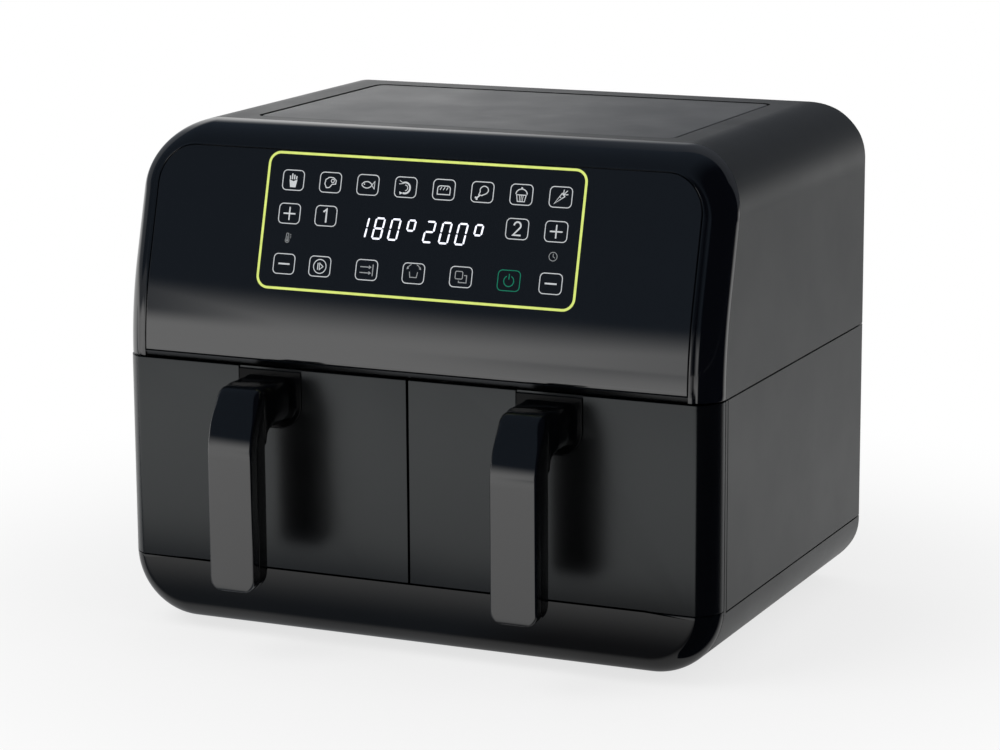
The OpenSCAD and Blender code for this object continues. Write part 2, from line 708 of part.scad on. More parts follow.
bracket_spots = [45, 135, 225, 315];
module motor_bracket() {
    translate([drawer_centre, fan_y, 0]) {
        difference() {
            translate([0, 0, bracket_z]) cylinder(r = 36, h = 2);
            translate([0, 0, bracket_z - 1]) cylinder(r = 9, h = 4);
            for (a = [0, 90, 180, 270]) rotate([0, 0, a]) translate([18, 0, bracket_z - 1])
                cylinder(r = 5.5, h = 4, $fn = 48);
        }
        for (a = bracket_spots) rotate([0, 0, a]) translate([31.5, 0, 0]) {
            translate([0, 0, shield_top]) cylinder(r = 3.5, h = bracket_z - shield_top + 0.5, $fn = 48);
            translate([0, 0, shield_top]) cylinder(r = 4.5, h = 1.2, $fn = 48);
        }
    }
}
module motor_brackets() color([0.6, 0.61, 0.62]) both_sides() motor_bracket();

module fan_motor() {
    translate([drawer_centre, fan_y, 0]) {
        difference() {
            union() {
                translate([0, 0, motor_base]) cylinder(r = motor_radius, h = 26);
                translate([0, 0, motor_base]) cylinder(r = 8, h = 30);
                for (a = [0, 180]) rotate([0, 0, a]) translate([motor_radius - 4, -6, motor_base])
                    cube([9, 12, 2]);
            }
            translate([0, 0, motor_base - 1]) cylinder(r = shaft_radius + shaft_clearance, h = 29, $fn = 64);
            for (i = [0 : 11]) rotate([0, 0, i * 30]) translate([motor_radius + 1, 0, motor_base + 6])
                cylinder(r = 2.4, h = 14, $fn = 32);
        }
    }
}
module fan_motors() color([0.45, 0.46, 0.47]) both_sides() fan_motor();

hot_fan_z = zs + 24;
module fan_shaft() {
    translate([drawer_centre, fan_y, 0]) {
        translate([0, 0, hot_fan_z - 7]) cylinder(r = shaft_radius, h = motor_base + 24 - hot_fan_z + 7, $fn = 64);
        // nut under the hot fan
        translate([0, 0, hot_fan_z - 5]) cylinder(r = 5.5, h = 4.4, $fn = 6);
    }
}
module fan_shaft_right() color([0.7, 0.7, 0.71]) fan_shaft();
module fan_shaft_left() color([0.7, 0.7, 0.71]) mirror([1, 0, 0]) fan_shaft();

module bladed_fan(radius, height, blades, hub) {
    difference() {
        union() {
            cylinder(r = radius, h = 1);
            cylinder(r = hub, h = height);
            for (i = [0 : blades - 1]) rotate([0, 0, i * 360 / blades])
                translate([hub + 4, 0, 0.5]) rotate([0, 0, 24])
                translate([0, -0.5, 0]) cube([radius * 0.72 - hub, 1, height - 0.5]);
        }
        translate([0, 0, -1]) cylinder(r = shaft_radius, h = height + 2, $fn = 64);
    }
}
module hot_fan() {
    translate([drawer_centre, fan_y, hot_fan_z]) bladed_fan(hot_fan_radius, 8, 8, 7);
}
module hot_fan_right() color([0.66, 0.67, 0.68]) hot_fan();
module hot_fan_left() color([0.66, 0.67, 0.68]) mirror([1, 0, 0]) hot_fan();
module cooling_fan() {
    translate([drawer_centre, fan_y, shield_top + 3]) bladed_fan(cooling_fan_radius, 7, 7, 7);
}
module cooling_fan_right() color([0.66, 0.67, 0.68]) cooling_fan();
module cooling_fan_left() color([0.66, 0.67, 0.68]) mirror([1, 0, 0]) cooling_fan();

module temperature_sensors() color([0.72, 0.72, 0.72]) both_sides() {
    translate([drawer_centre - 62, fan_y + 40, 0]) {
        translate([0, 0, liner_top - 16]) cylinder(r = 1.9, h = 24, $fn = 32);
        translate([0, 0, liner_top - 16]) sphere(1.9, $fn = 32);
        translate([0, 0, shield_top]) cylinder(r = 5, h = 2.5, $fn = 48);
    }
}

module thermal_cutouts() color([0.75, 0.72, 0.66]) both_sides() {
    translate([drawer_centre + 62, fan_y + 40, shield_top]) {
        cylinder(r = 8, h = 7, $fn = 48);
        for (s = [-1, 1]) translate([s * 3.5 - 0.4, -3, 6.9]) cube([0.8, 6, 8]);
    }
}

// ---------------------------------------------------------------- electronics

key_pitch = body_width / 15.2;

// Depth of the fascia's back at height h on the leaning face.
function fascia_back(h) = let (r = lean_radius - fascia_thickness)
    fascia_thickness + (h < 0 ? r - sqrt(r * r - h * h) : 0);

module on_fascia() {
    translate([0, lean_y, lean_z]) rotate([-lean_angle, 0, 0]) children();
}

board_back = 10;
board_sheet = 1.6;
// heights along the leaning face, measured from where the curve ends
board_top = (zt - lip_in - 2 - lean_z) / cos(lean_angle);
board_low = board_top - 70;
board_half = body_width / 2 - lip_in - 55;
post_x = board_half - 6;
post_heights = [board_low + 6, board_top - 6];
module control_board() color([0.05, 0.2, 0.1]) {
    on_fascia() {
        difference() {
            translate([-board_half, board_back, board_low]) cube([2 * board_half, board_sheet, board_top - board_low]);
            for (x = [-1, 1], z = post_heights) translate([x * post_x, board_back - 5, z])
                rotate([-90, 0, 0]) cylinder(r = 1.6, h = 12, $fn = 32);
        }
        // driver chips and connector on the back
        translate([-20, board_back + board_sheet, board_low + 32]) cube([14, 2, 14]);
        translate([18, board_back + board_sheet, board_low + 30]) cube([9, 1.8, 18]);
        translate([-80, board_back + board_sheet, board_low + 6]) cube([30, 8, 6]);
    }
}

module display_module() color([0.12, 0.12, 0.13]) {
    front = fascia_back(board_top - 54) + 0.2;
    on_fascia() translate([-34, front, board_top - 54]) cube([76, board_back - front, 24]);
}

// Sprung pads between the board and the touch keys.
module touch_pads() color([0.75, 0.75, 0.76]) {
    front = fascia_back(board_top - 12) + 0.2;
    on_fascia() for (i = [-3.5 : 3.5])
        translate([i * key_pitch, front, board_top - 8]) rotate([-90, 0, 0])
            cylinder(r = 4, h = board_back - front, $fn = 32);
}

module board_posts() color([0.08, 0.08, 0.085]) {
    on_fascia() for (x = [-1, 1], z = post_heights) {
        translate([x * post_x, fascia_back(z - 3.2) + 0.02, z]) rotate([-90, 0, 0])
            cylinder(r = 3.2, h = board_back - fascia_back(z - 3.2) - 0.02, $fn = 32);
        translate([x * post_x, board_back - 1, z]) rotate([-90, 0, 0]) cylinder(r = 1.5, h = 4, $fn = 32);
        translate([x * post_x, board_back + board_sheet, z]) rotate([-90, 0, 0]) cylinder(r = 3, h = 1.6, $fn = 32);
    }
}

power_z = shield_top + 14;
module power_board() color([0.08, 0.26, 0.14]) {
    difference() {
        translate([-44, fan_y - 40, power_z]) cube([88, 104, 1.6]);
        for (x = [-1, 1], y = [-35, 59]) translate([x * 39, fan_y + y, power_z - 1])
            cylinder(r = 1.7, h = 5, $fn = 32);
    }
}
module power_parts() color([0.2, 0.2, 0.22]) {
    translate([-36, fan_y - 12, power_z + 1.6]) cube([30, 26, 24]);
    for (x = [4, 24]) translate([x, fan_y - 30, power_z + 1.6]) cube([15, 20, 16]);
    for (x = [8, 26]) translate([x, fan_y + 14, power_z + 1.6]) cylinder(r = 7, h = 20, $fn = 48);
    translate([-36, fan_y + 34, power_z + 1.6]) cube([50, 12, 14]);
}
module power_posts() color([0.08, 0.08, 0.085]) {
    for (x = [-1, 1], y = [-35, 59]) translate([x * 39, fan_y + y, 0]) {
        translate([0, 0, shield_top]) cylinder(r = 3.2, h = power_z - shield_top, $fn = 32);
        translate([0, 0, power_z - 1]) cylinder(r = 1.6, h = 4, $fn = 32);
        translate([0, 0, power_z + 1.6]) cylinder(r = 3, h = 1.6, $fn = 32);
    }
}

// Drawer switches between the two chambers.
plunger_x = 5.4;
plunger_z = zs - 32;
plunger_radius = 1.6;
plunger_tip = pan_front + 0.4;
module drawer_switches() color([0.1, 0.1, 0.1]) both_sides() {
    difference() {
        translate([0.8, frame_back, plunger_z - 10]) cube([7, 16, 20]);
        translate([plunger_x, frame_back - 1, plunger_z]) rotate([-90, 0, 0])
            cylinder(r = plunger_radius + 0.05, h = 13, $fn = 48);
    }
}
module switch_plunger() {
    translate([plunger_x, plunger_tip, plunger_z]) rotate([-90, 0, 0])
        cylinder(r = plunger_radius, h = frame_back + 8 - plunger_tip, $fn = 48);
}
module switch_plunger_right() color([0.85, 0.2, 0.15]) switch_plunger();
module switch_plunger_left() color([0.85, 0.2, 0.15]) mirror([1, 0, 0]) switch_plunger();

// ---------------------------------------------------------------- drawers

front_base = zd + half_gap;
front_top = zs - half_gap;
inner_x = 0.75;

function drawer_bevel(shrink) = [for (i = [bevel_steps : -1 : 0])
    let (t = bevel_width * (1 - pow(i / bevel_steps, 1.6)))
    [body_width / 2 - t - shrink, y0 + bevel_run(t) * bevel_depth + shrink * 0.6]];

module drawer_front() {
    difference() {
        translate([0, 0, front_base]) linear_extrude(height = front_top - front_base)
            polygon(concat([[inner_x, y0 + bevel_depth], [inner_x, y0]],
                [for (i = [0 : bevel_steps]) drawer_bevel(0)[bevel_steps - i]]));
        translate([0, 0, front_base + shell_wall]) linear_extrude(height = front_top - front_base - 2 * shell_wall)
            polygon([[inner_x + shell_wall, y0 + bevel_depth + 5], [inner_x + shell_wall, y0 + shell_wall],
                [body_width / 2 - bevel_width - 2, y0 + shell_wall],
                [body_width / 2 - 6.2, y0 + shell_wall + 4.4],
                [body_width / 2 - shell_wall, y0 + bevel_depth - 2.4],
                [body_width / 2 - shell_wall, y0 + bevel_depth + 5]]);
        // seat of the handle plate
        intersection() {
            translate([0, y0 + 1.2, 0]) plate_solid(0.5, 5);
            translate([0, y0 - 5, 0]) cube([big / 2, 6.2, front_top + 20]);
        }
        for (z = screw_heights) translate([handle_centre, y0 - 5, z]) rotate([-90, 0, 0])
            cylinder(r = 2.1, h = 12, $fn = 32);
    }
}
screw_heights = [z0 + 141, z0 + 150];

// Handle plate outline, grown by g, standing h forward of its back.
module plate_solid(g, h) {
    w = plate_width / 2 + g;
    top = zs - half_gap + (g > 0 ? 5 : -1.2);
    low = zs - plate_length - g;
    r = plate_radius + g;
    translate([handle_centre, 0, 0]) rotate([90, 0, 0]) linear_extrude(height = h) {
        translate([-w, low + r]) square([2 * w, top - low - r]);
        translate([-w + r, low]) square([2 * (w - r), r + 1]);
        for (s = [-1, 1]) translate([s * (w - r), low + r]) circle(r);
    }
}

module drawer_front_right() color([0.03, 0.03, 0.033]) drawer_front();
module drawer_front_left() color([0.03, 0.03, 0.033]) mirror([1, 0, 0]) drawer_front();

module drawer_back_panel() {
    g = 0.1;
    translate([inner_x + shell_wall + g, y0 + bevel_depth - 2.0, front_base + shell_wall + g])
        cube([body_width / 2 - inner_x - 2 * shell_wall - 2 * g, 2.0,
            front_top - front_base - 2 * shell_wall - 2 * g]);
}
module drawer_back_panel_right() color([0.07, 0.07, 0.072]) drawer_back_panel();
module drawer_back_panel_left() color([0.07, 0.07, 0.072]) mirror([1, 0, 0]) drawer_back_panel();

module handle_plate() {
    difference() {
        translate([0, y0 + 1.2, 0]) plate_solid(0, 1.2 + plate_proud);
        for (z = screw_heights) translate([handle_centre, y0 - 5, z]) rotate([-90, 0, 0])
            cylinder(r = 2.1, h = 12, $fn = 32);
    }
}
module handle_plate_right() color([0.025, 0.025, 0.027]) handle_plate();
module handle_plate_left() color([0.025, 0.025, 0.027]) mirror([1, 0, 0]) handle_plate();

// Side outline of the handle; X is the distance from the drawer face.
module handle_outline() {
    f = -handle_reach;
    b = f + grip_depth;
    g0 = z0 + grip_base_height;
    g1 = z0 + grip_bend_height;
    top = z0 + handle_top_height;
    neck = top - neck_height;
    polygon([
        [f + 4, g0], [f + 1.2, g0 + 1.2], [f, g0 + 4], [f, g1], [f + 1.2, g1 + 7],
        [f + 9.5, top - 7], [f + 11.6, top - 3.4], [f + 15, top - 1], [f + 19, top],
        [-plate_proud, top], [-plate_proud, neck], [b + 8, neck], [b + 3.5, neck - 1.4], [b + 1, neck - 4.4],
        [b, neck - 9], for (a = [0 : 15 : 90])
            [b - grip_heel + grip_heel * cos(a), g0 + grip_heel - grip_heel * sin(a)]]);
}
module handle_front_view(w, r) {
    g0 = z0 + grip_base_height;
    top = z0 + handle_top_height;
    q = grip_shoulder;
    translate([handle_centre, 0]) {
        translate([-w / 2, g0 + r]) square([w, top - q - g0 - r]);
        translate([-w / 2 + r, g0]) square([w - 2 * r, r + 1]);
        translate([-w / 2 + q, top - q - 1]) square([w - 2 * q, q + 1]);
        for (s = [-1, 1]) translate([s * (w / 2 - r), g0 + r]) circle(r);
        for (s = [-1, 1]) translate([s * (w / 2 - q), top - q]) circle(q);
    }
}
module neck_front_view() {
    low = z0 + handle_top_height - neck_height;
    top = z0 + handle_top_height;
    w = neck_width / 2;
    r = neck_low_corner;
    q = neck_top_corner;
    translate([handle_centre, 0]) {
        translate([-w, low + r]) square([2 * w, neck_height - r - q]);
        translate([-w + r, low]) square([2 * (w - r), r + 1]);
        translate([-w + q, top - q - 1]) square([2 * (w - q), q + 1]);
        for (s = [-1, 1]) translate([s * (w - r), low + r]) circle(r);
        for (s = [-1, 1]) translate([s * (w - q), top - q]) circle(q);
    }
}
module handle_slice(w) {
    translate([handle_centre, y0, 0]) along_x(w) children();
}

module handle_core() {
    difference() {
        union() {
            intersection() {
                handle_slice(grip_width) intersection() {
                    handle_outline();
                    translate([cover_thickness + 0.8, 0]) handle_outline();
                }
                along_y(y0 - 80, y0 + 5) handle_front_view(grip_width, grip_corner);
            }
            intersection() {
                handle_slice(grip_width - 1.8) intersection() {
                    handle_outline();
                    translate([cover_thickness, 0]) handle_outline();
                }
                along_y(y0 - 80, y0 + 5) handle_front_view(grip_width - 1.8, grip_corner);
            }
            // wider neck behind the grip
            intersection() {
                handle_slice(neck_width) handle_outline();
                along_y(y0 - handle_reach + grip_depth + 4, y0 + 35) neck_front_view();
            }
        }
        for (z = screw_heights) translate([handle_centre, y0 - 18, z]) rotate([-90, 0, 0])
            cylinder(r = 1.7, h = 30, $fn = 32);
    }
}
module handle_core_right() color([0.03, 0.03, 0.032]) handle_core();
module handle_core_left() color([0.03, 0.03, 0.032]) mirror([1, 0, 0]) handle_core();

module handle_cover() {
    intersection() {
        handle_slice(grip_width) difference() {
            handle_outline();
            translate([cover_thickness, 0]) handle_outline();
            translate([cover_thickness, z0 + grip_base_height - 5]) square([60, 30]);
            translate([-handle_reach + 19.2, z0 + 60]) square([60, 120]);
        }
        along_y(y0 - 80, y0 + 5) handle_front_view(grip_width, grip_corner);
    }
}
module handle_cover_right() color([0.02, 0.02, 0.022]) handle_cover();
module handle_cover_left() color([0.02, 0.02, 0.022]) mirror([1, 0, 0]) handle_cover();

module handle_screw_pair() {
    for (z = screw_heights) translate([handle_centre, y0 + shell_wall, z]) rotate([-90, 0, 0]) {
        translate([0, 0, -18]) cylinder(r = 1.65, h = 18.1, $fn = 32);
        difference() {
            cylinder(r = 3.6, h = 2.4, $fn = 48);
            for (a = [0, 90]) rotate([0, 0, a]) translate([-2.2, -0.4, 1.4]) cube([4.4, 0.8, 2]);
        }
    }
}
module handle_screws_right() color([0.6, 0.6, 0.62]) handle_screw_pair();
module handle_screws_left() color([0.6, 0.6, 0.62]) mirror([1, 0, 0]) handle_screw_pair();

module pan_shape(w, l, r, y, z, h) {
    translate([drawer_centre, y + l / 2, z]) linear_extrude(height = h) {
        square([w, l - 2 * r], center = true);
        square([w - 2 * r, l], center = true);
        for (sx = [-1, 1], sy = [-1, 1]) translate([sx * (w / 2 - r), sy * (l / 2 - r)]) circle(r);
    }
}
ledge_spots = [[-1, -1], [1, -1], [-1, 1], [1, 1]];
module pan() {
    difference() {
        pan_shape(pan_width, pan_length, pan_corner, pan_front, pan_base, pan_height);
        pan_shape(pan_width - 2 * pan_wall, pan_length - 2 * pan_wall, pan_corner - pan_wall,
            pan_front + pan_wall, pan_base + pan_wall, pan_height);
    }
    // ledges under the crisper plate
    for (p = ledge_spots) translate([drawer_centre + p[0] * (pan_width / 2 - pan_wall - 2),
        pan_front + pan_length / 2 + p[1] * 48, pan_base + pan_wall - 0.5])
        translate([-2.5, -7, 0]) cube([5, 14, plate_level - pan_wall + 0.5 - 0.3]);
}
module pan_right() color([0.14, 0.14, 0.145]) pan();
module pan_left() color([0.14, 0.14, 0.145]) mirror([1, 0, 0]) pan();

plate_w = pan_width - 2 * pan_wall - 2 * crisper_gap;
plate_l = pan_length - 2 * pan_wall - 2 * crisper_gap;
plate_r = pan_corner - pan_wall - crisper_gap;
module crisper_plate() {
    difference() {
        pan_shape(plate_w, plate_l, plate_r, pan_front + pan_wall + crisper_gap, crisper_z, 5);
        pan_shape(plate_w - 2 * crisper_thickness, plate_l - 2 * crisper_thickness, plate_r - crisper_thickness,
            pan_front + pan_wall + crisper_gap + crisper_thickness, crisper_z + crisper_thickness, 10);
        for (i = [-3 : 3], j = [-4 : 4])
            translate([drawer_centre + i * 18, pan_front + pan_length / 2 + j * 18, crisper_z - 1])
                cylinder(r = 3.4, h = 4, $fn = 24);
    }
}
module crisper_plate_right() color([0.16, 0.16, 0.165]) crisper_plate();
module crisper_plate_left() color([0.16, 0.16, 0.165]) mirror([1, 0, 0]) crisper_plate();

module plate_bumper_set() {
    out = crisper_gap - bumper_gap;
    for (sx = [-1, 1], sy = [-1, 1]) {
        translate([drawer_centre + sx * (plate_w / 2 + out / 2), pan_front + pan_length / 2 + sy * 25, crisper_z + 2.5])
            cube([out, 14, 5], center = true);
        translate([drawer_centre + sx * 32, pan_front + pan_length / 2 + sy * (plate_l / 2 + out / 2), crisper_z + 2.5])
            cube([14, out, 5], center = true);
    }
}
module plate_bumpers_right() color([0.3, 0.3, 0.3]) plate_bumper_set();
module plate_bumpers_left() color([0.3, 0.3, 0.3]) mirror([1, 0, 0]) plate_bumper_set();

upper_housing();
side_panel_left();
side_panel_right();
rear_panel();
base_tray();
front_skirt();
front_frame();
front_bezel();
control_fascia();
top_panel();
rubber_feet();
housing_screws();
rear_vent_grille();
grille_screws();
cord_gland();
chamber_liner_left();
chamber_liner_right();
heater_baffles();
heating_element_left();
heating_element_right();
heat_shield();
motor_brackets();
fan_motors();
fan_shaft_left();
fan_shaft_right();
hot_fan_left();
hot_fan_right();
cooling_fan_left();
cooling_fan_right();
temperature_sensors();
thermal_cutouts();
control_board();
display_module();
touch_pads();
board_posts();
power_board();
power_parts();
power_posts();
drawer_switches();
switch_plunger_left();
switch_plunger_right();
drawer_front_left();
drawer_front_right();
drawer_back_panel_left();
drawer_back_panel_right();
handle_plate_left();
handle_plate_right();
handle_core_left();
handle_core_right();
handle_cover_left();
handle_cover_right();
handle_screws_left();
handle_screws_right();
pan_left();
pan_right();
crisper_plate_left();
crisper_plate_right();
plate_bumpers_left();
plate_bumpers_right();
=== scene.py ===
import json
from math import acos, asin, atan2, cos, dist, hypot, pi, radians, sin, sqrt, tan
import bpy
import bmesh
from mathutils import Matrix, Vector


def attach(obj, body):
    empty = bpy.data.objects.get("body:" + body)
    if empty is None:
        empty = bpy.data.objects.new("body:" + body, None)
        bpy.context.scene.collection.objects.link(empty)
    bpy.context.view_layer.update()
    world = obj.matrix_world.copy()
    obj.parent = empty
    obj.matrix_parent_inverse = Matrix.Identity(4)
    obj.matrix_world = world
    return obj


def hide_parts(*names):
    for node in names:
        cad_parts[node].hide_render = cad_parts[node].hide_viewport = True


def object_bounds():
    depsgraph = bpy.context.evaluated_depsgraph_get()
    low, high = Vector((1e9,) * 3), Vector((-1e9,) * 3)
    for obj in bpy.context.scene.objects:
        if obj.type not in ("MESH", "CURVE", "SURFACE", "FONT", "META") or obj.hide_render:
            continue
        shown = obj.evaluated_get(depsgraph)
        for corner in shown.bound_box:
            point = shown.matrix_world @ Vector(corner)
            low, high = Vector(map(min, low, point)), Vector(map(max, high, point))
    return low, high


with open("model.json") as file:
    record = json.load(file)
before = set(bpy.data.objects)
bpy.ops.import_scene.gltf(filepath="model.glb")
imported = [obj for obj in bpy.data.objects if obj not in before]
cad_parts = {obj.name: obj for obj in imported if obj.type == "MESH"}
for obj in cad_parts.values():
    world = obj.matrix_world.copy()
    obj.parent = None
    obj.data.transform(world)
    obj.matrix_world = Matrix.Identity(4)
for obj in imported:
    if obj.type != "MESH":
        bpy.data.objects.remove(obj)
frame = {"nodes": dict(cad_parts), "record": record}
cad_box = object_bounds()
scene = bpy.context.scene
MM = 0.001

# -------------------- sizes, mm
# Width, top and front come from the CAD part's box; the other sizes are those of its source.
BOX_LOW, BOX_HIGH = ([round(v / MM, 3) for v in corner] for corner in cad_box)
WIDTH = BOX_HIGH[0] - BOX_LOW[0]
TOP = BOX_HIGH[2]
HANDLE_REACH = 52.2
FRONT = BOX_LOW[1] + HANDLE_REACH
FOOT = 5.0
SEAM_Z = FOOT + 162.0
DRAWER_Z = FOOT + 39.3
HALF_SEAM = 0.5
TOP_RADIUS, BASE_RADIUS = 39.5, 41.0
BEVEL_WIDTH, BEVEL_DEPTH, CROWN_EXTRA = 11.0, 17.4, 12.5
BEVEL_RADIUS = (BEVEL_WIDTH ** 2 + BEVEL_DEPTH ** 2) / (2 * BEVEL_WIDTH)
FLAT_EDGE = BEVEL_WIDTH + 2.4     # inset of the last line on the flat face
LEAN_RADIUS, LEAN_ANGLE = 209.0, radians(15.8)
ARC_Y = FRONT + LEAN_RADIUS
LEAN_Z = SEAM_Z + LEAN_RADIUS * sin(LEAN_ANGLE)
LEAN_Y = ARC_Y - LEAN_RADIUS * cos(LEAN_ANGLE)
CROWN_Z = TOP - TOP_RADIUS
RIM_WIDTH = 5.0
RIM = BEVEL_WIDTH + RIM_WIDTH     # inner edge of the rim, from the outer line
HANDLE_X = 89.7
ENDS = [(0.0, 0.35), (0.1, 0.12), (0.35, 0.0)]      # rounded end of a moulding: (distance, inset)
CORNER_STEPS = 26


def clamp(u):
    return max(0.0, min(1.0, u))


def front_y(z):
    """Y of the front face at height z: upright, then an arc, then a straight lean."""
    if z <= SEAM_Z:
        return FRONT
    if z <= LEAN_Z:
        return ARC_Y - sqrt(LEAN_RADIUS ** 2 - (z - SEAM_Z) ** 2)
    return LEAN_Y + (z - LEAN_Z) * tan(LEAN_ANGLE)


def bevel_y(z):
    """Y of the bevel's outer line, which lies deeper round the crown."""
    return front_y(z) + BEVEL_DEPTH + CROWN_EXTRA * clamp((z - CROWN_Z) / TOP_RADIUS) ** 2


def bevel_run(t):
    """Share of the bevel's depth at inset t."""
    return (BEVEL_DEPTH - sqrt(BEVEL_RADIUS ** 2 - (BEVEL_RADIUS - t) ** 2)) / BEVEL_DEPTH


def edge_profile():
    """Section of the bevel from the flat face to the outer line: (inset, share of the depth)."""
    steps, soft, crowding = 14, 1.0, 1.7
    a, b = BEVEL_WIDTH + soft, BEVEL_WIDTH - soft
    pts = []
    for i in range(5):
        u = i / 4
        t = (1 - u) ** 2 * a + 2 * u * (1 - u) * BEVEL_WIDTH + u * u * b
        pts.append((t, u * u * bevel_run(b)))
    for i in range(1, steps + 1):
        t = b * (1 - (i / steps)) ** crowding
        pts.append((t, bevel_run(t)))
    return pts


# -------------------- mesh helpers
SMOOTH_ANGLE = radians(40)
QUARTER = [radians(a) for a in (0, 15, 30, 45, 60, 75, 90)]


def add_object(name, data):
    ob = bpy.data.objects.new(name, data)
    scene.collection.objects.link(ob)
    return ob


def new_mesh(name, verts, faces, unit=MM):
    me = bpy.data.meshes.new(name)
    me.from_pydata([tuple(c * unit for c in v) for v in verts], [], faces)
    me.validate()
    return me


def closed_shape(name, verts, faces):
    """Object with merged points and outward normals."""
    me = new_mesh(name, verts, faces)
    bm = bmesh.new()
    bm.from_mesh(me)
    bmesh.ops.remove_doubles(bm, verts=bm.verts, dist=1e-6)
    bmesh.ops.recalc_face_normals(bm, faces=bm.faces)
    bm.to_mesh(me)
    bm.free()
    return add_object(name, me)


def smooth_shading(ob):
    me = ob.data
    me.polygons.foreach_set("use_smooth", [True] * len(me.polygons))
    me.set_sharp_from_angle(angle=SMOOTH_ANGLE)


def piece(ob, body, slot, replaces=(), mat=None):
    """Makes a shape a piece that rides on a body, in its slot's material unless another is given."""
    smooth_shading(ob)
    ob.data.materials.append(mat or MATERIALS[slot])
    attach(ob, body)
    if replaces:
        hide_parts(*replaces)
    return ob


def settle(ob):
    """Puts the result of the modifiers into the mesh."""
    dg = bpy.context.evaluated_depsgraph_get()
    me = bpy.data.meshes.new_from_object(ob.evaluated_get(dg))
    ob.modifiers.clear()
    ob.data = me


def combine(ob, other, how):
    """Cuts the other object from the first or joins them, and removes the other."""
    m = ob.modifiers.new("combine", "BOOLEAN")
    m.operation = how
    m.solver = "EXACT"
    m.object = other
    settle(ob)
    bpy.data.objects.remove(other)
    smooth_shading(ob)


def grid_faces(rows, cols, close=False):
    """Quads between neighbouring rows of points."""
    f = []
    for i in range(rows - 1):
        for j in range(cols if close else cols - 1):
            k = (j + 1) % cols
            f.append((i * cols + j, i * cols + k, (i + 1) * cols + k, (i + 1) * cols + j))
    return f


def loft(name, rows):
    """Closed shape through closed rows of points, with a cap at each end."""
    c, last = len(rows[0]), (len(rows) - 1) * len(rows[0])
    caps = [tuple(range(c)), tuple(reversed(range(last, last + c)))]
    return closed_shape(name, sum(rows, []), grid_faces(len(rows), c, close=True) + caps)


def on_side(rows, sign):
    """Rows of the right side, mirrored where the sign is -1."""
    return [[(sign * x, y, z) for x, y, z in row] for row in rows]


def both_halves(rows):
    """Rows from one end to the middle, then their mirror images from the middle to the other end."""
    return rows + on_side(reversed(rows), -1)


def closed_outline(half):
    """Outline from one half: the half itself, then its mirror image back to the start."""
    return half + [(-a, b) for a, b in reversed(half)]


def rounded(cx, cy, w, h, r, n=6):
    """Rectangle with rounded corners, as n + 1 points for each corner."""
    pts = []
    for qx, qy, start in ((1, 1, 0), (-1, 1, 90), (-1, -1, 180), (1, -1, 270)):
        for i in range(n + 1):
            a = radians(start + 90 * i / n)
            pts.append((cx + qx * (w / 2 - r) + r * cos(a), cy + qy * (h / 2 - r) + r * sin(a)))
    return pts


def direction(a, b):
    dx, dy = b[0] - a[0], b[1] - a[1]
    length = hypot(dx, dy) or 1.0
    return dx / length, dy / length


def path_normals(path):
    out = []
    for i in range(len(path)):
        dx, dy = direction(path[max(i - 1, 0)], path[min(i + 1, len(path) - 1)])
        out.append((dy, -dx))
    return out


def ease(u):
    """Smooth step from 0 to 1."""
    u = clamp(u)
    return u * u * (3 - 2 * u)


# -------------------- node helpers
def add_node(nt, kind, inputs=None, **settings):
    """New node with its settings and the values of its inputs."""
    node = nt.nodes.new(kind)
    for key, value in settings.items():
        setattr(node, key, value)
    for key, value in (inputs or {}).items():
        node.inputs[key].default_value = value
    return node


def new_mat(name):
    m = bpy.data.materials.new(name)
    m.use_nodes = True
    return m, m.node_tree, m.node_tree.nodes["Principled BSDF"]


def object_place(nt):
    return add_node(nt, "ShaderNodeTexCoord").outputs["Object"]


def noise(nt, scale, detail, rough=0.5, stretch=None):
    n = add_node(nt, "ShaderNodeTexNoise", {"Scale": scale, "Detail": detail, "Roughness": rough})
    place = object_place(nt)
    if stretch:
        mapping = add_node(nt, "ShaderNodeMapping", {"Scale": stretch})
        nt.links.new(place, mapping.inputs["Vector"])
        place = mapping.outputs["Vector"]
    nt.links.new(place, n.inputs["Vector"])
    return n.outputs["Fac"]


def ramp(nt, src, first, last, start=0.3, end=0.7):
    """Colour that runs from first to last while src runs from start to end."""
    r = add_node(nt, "ShaderNodeValToRGB")
    e = r.color_ramp.elements
    e[0].position, e[1].position = start, end
    e[0].color, e[1].color = (*first, 1), (*last, 1)
    nt.links.new(src, r.inputs["Fac"])
    return r.outputs["Color"]


def remap(nt, src, low, high, start=0.3, end=0.7, how="LINEAR"):
    """Value that runs from low to high while src runs from start to end."""
    n = add_node(nt, "ShaderNodeMapRange", interpolation_type=how, inputs={
        "From Min": start, "From Max": end, "To Min": low, "To Max": high})
    nt.links.new(src, n.inputs["Value"])
    return n.outputs["Result"]


def bump(nt, bsdf, height, strength, distance):
    b = add_node(nt, "ShaderNodeBump", {"Strength": strength, "Distance": distance})
    nt.links.new(height, b.inputs["Height"])
    nt.links.new(b.outputs["Normal"], bsdf.inputs["Normal"])


def shade(c, k):
    return tuple(v * k for v in c)


def mix_shaders(nt, output, share, first, second):
    """Links the mix of two shaders to the output node."""
    mix = add_node(nt, "ShaderNodeMixShader")
    nt.links.new(share.socket, mix.inputs["Fac"])
    nt.links.new(first, mix.inputs[1])
    nt.links.new(second, mix.inputs[2])
    nt.links.new(mix.outputs["Shader"], output.inputs["Surface"])


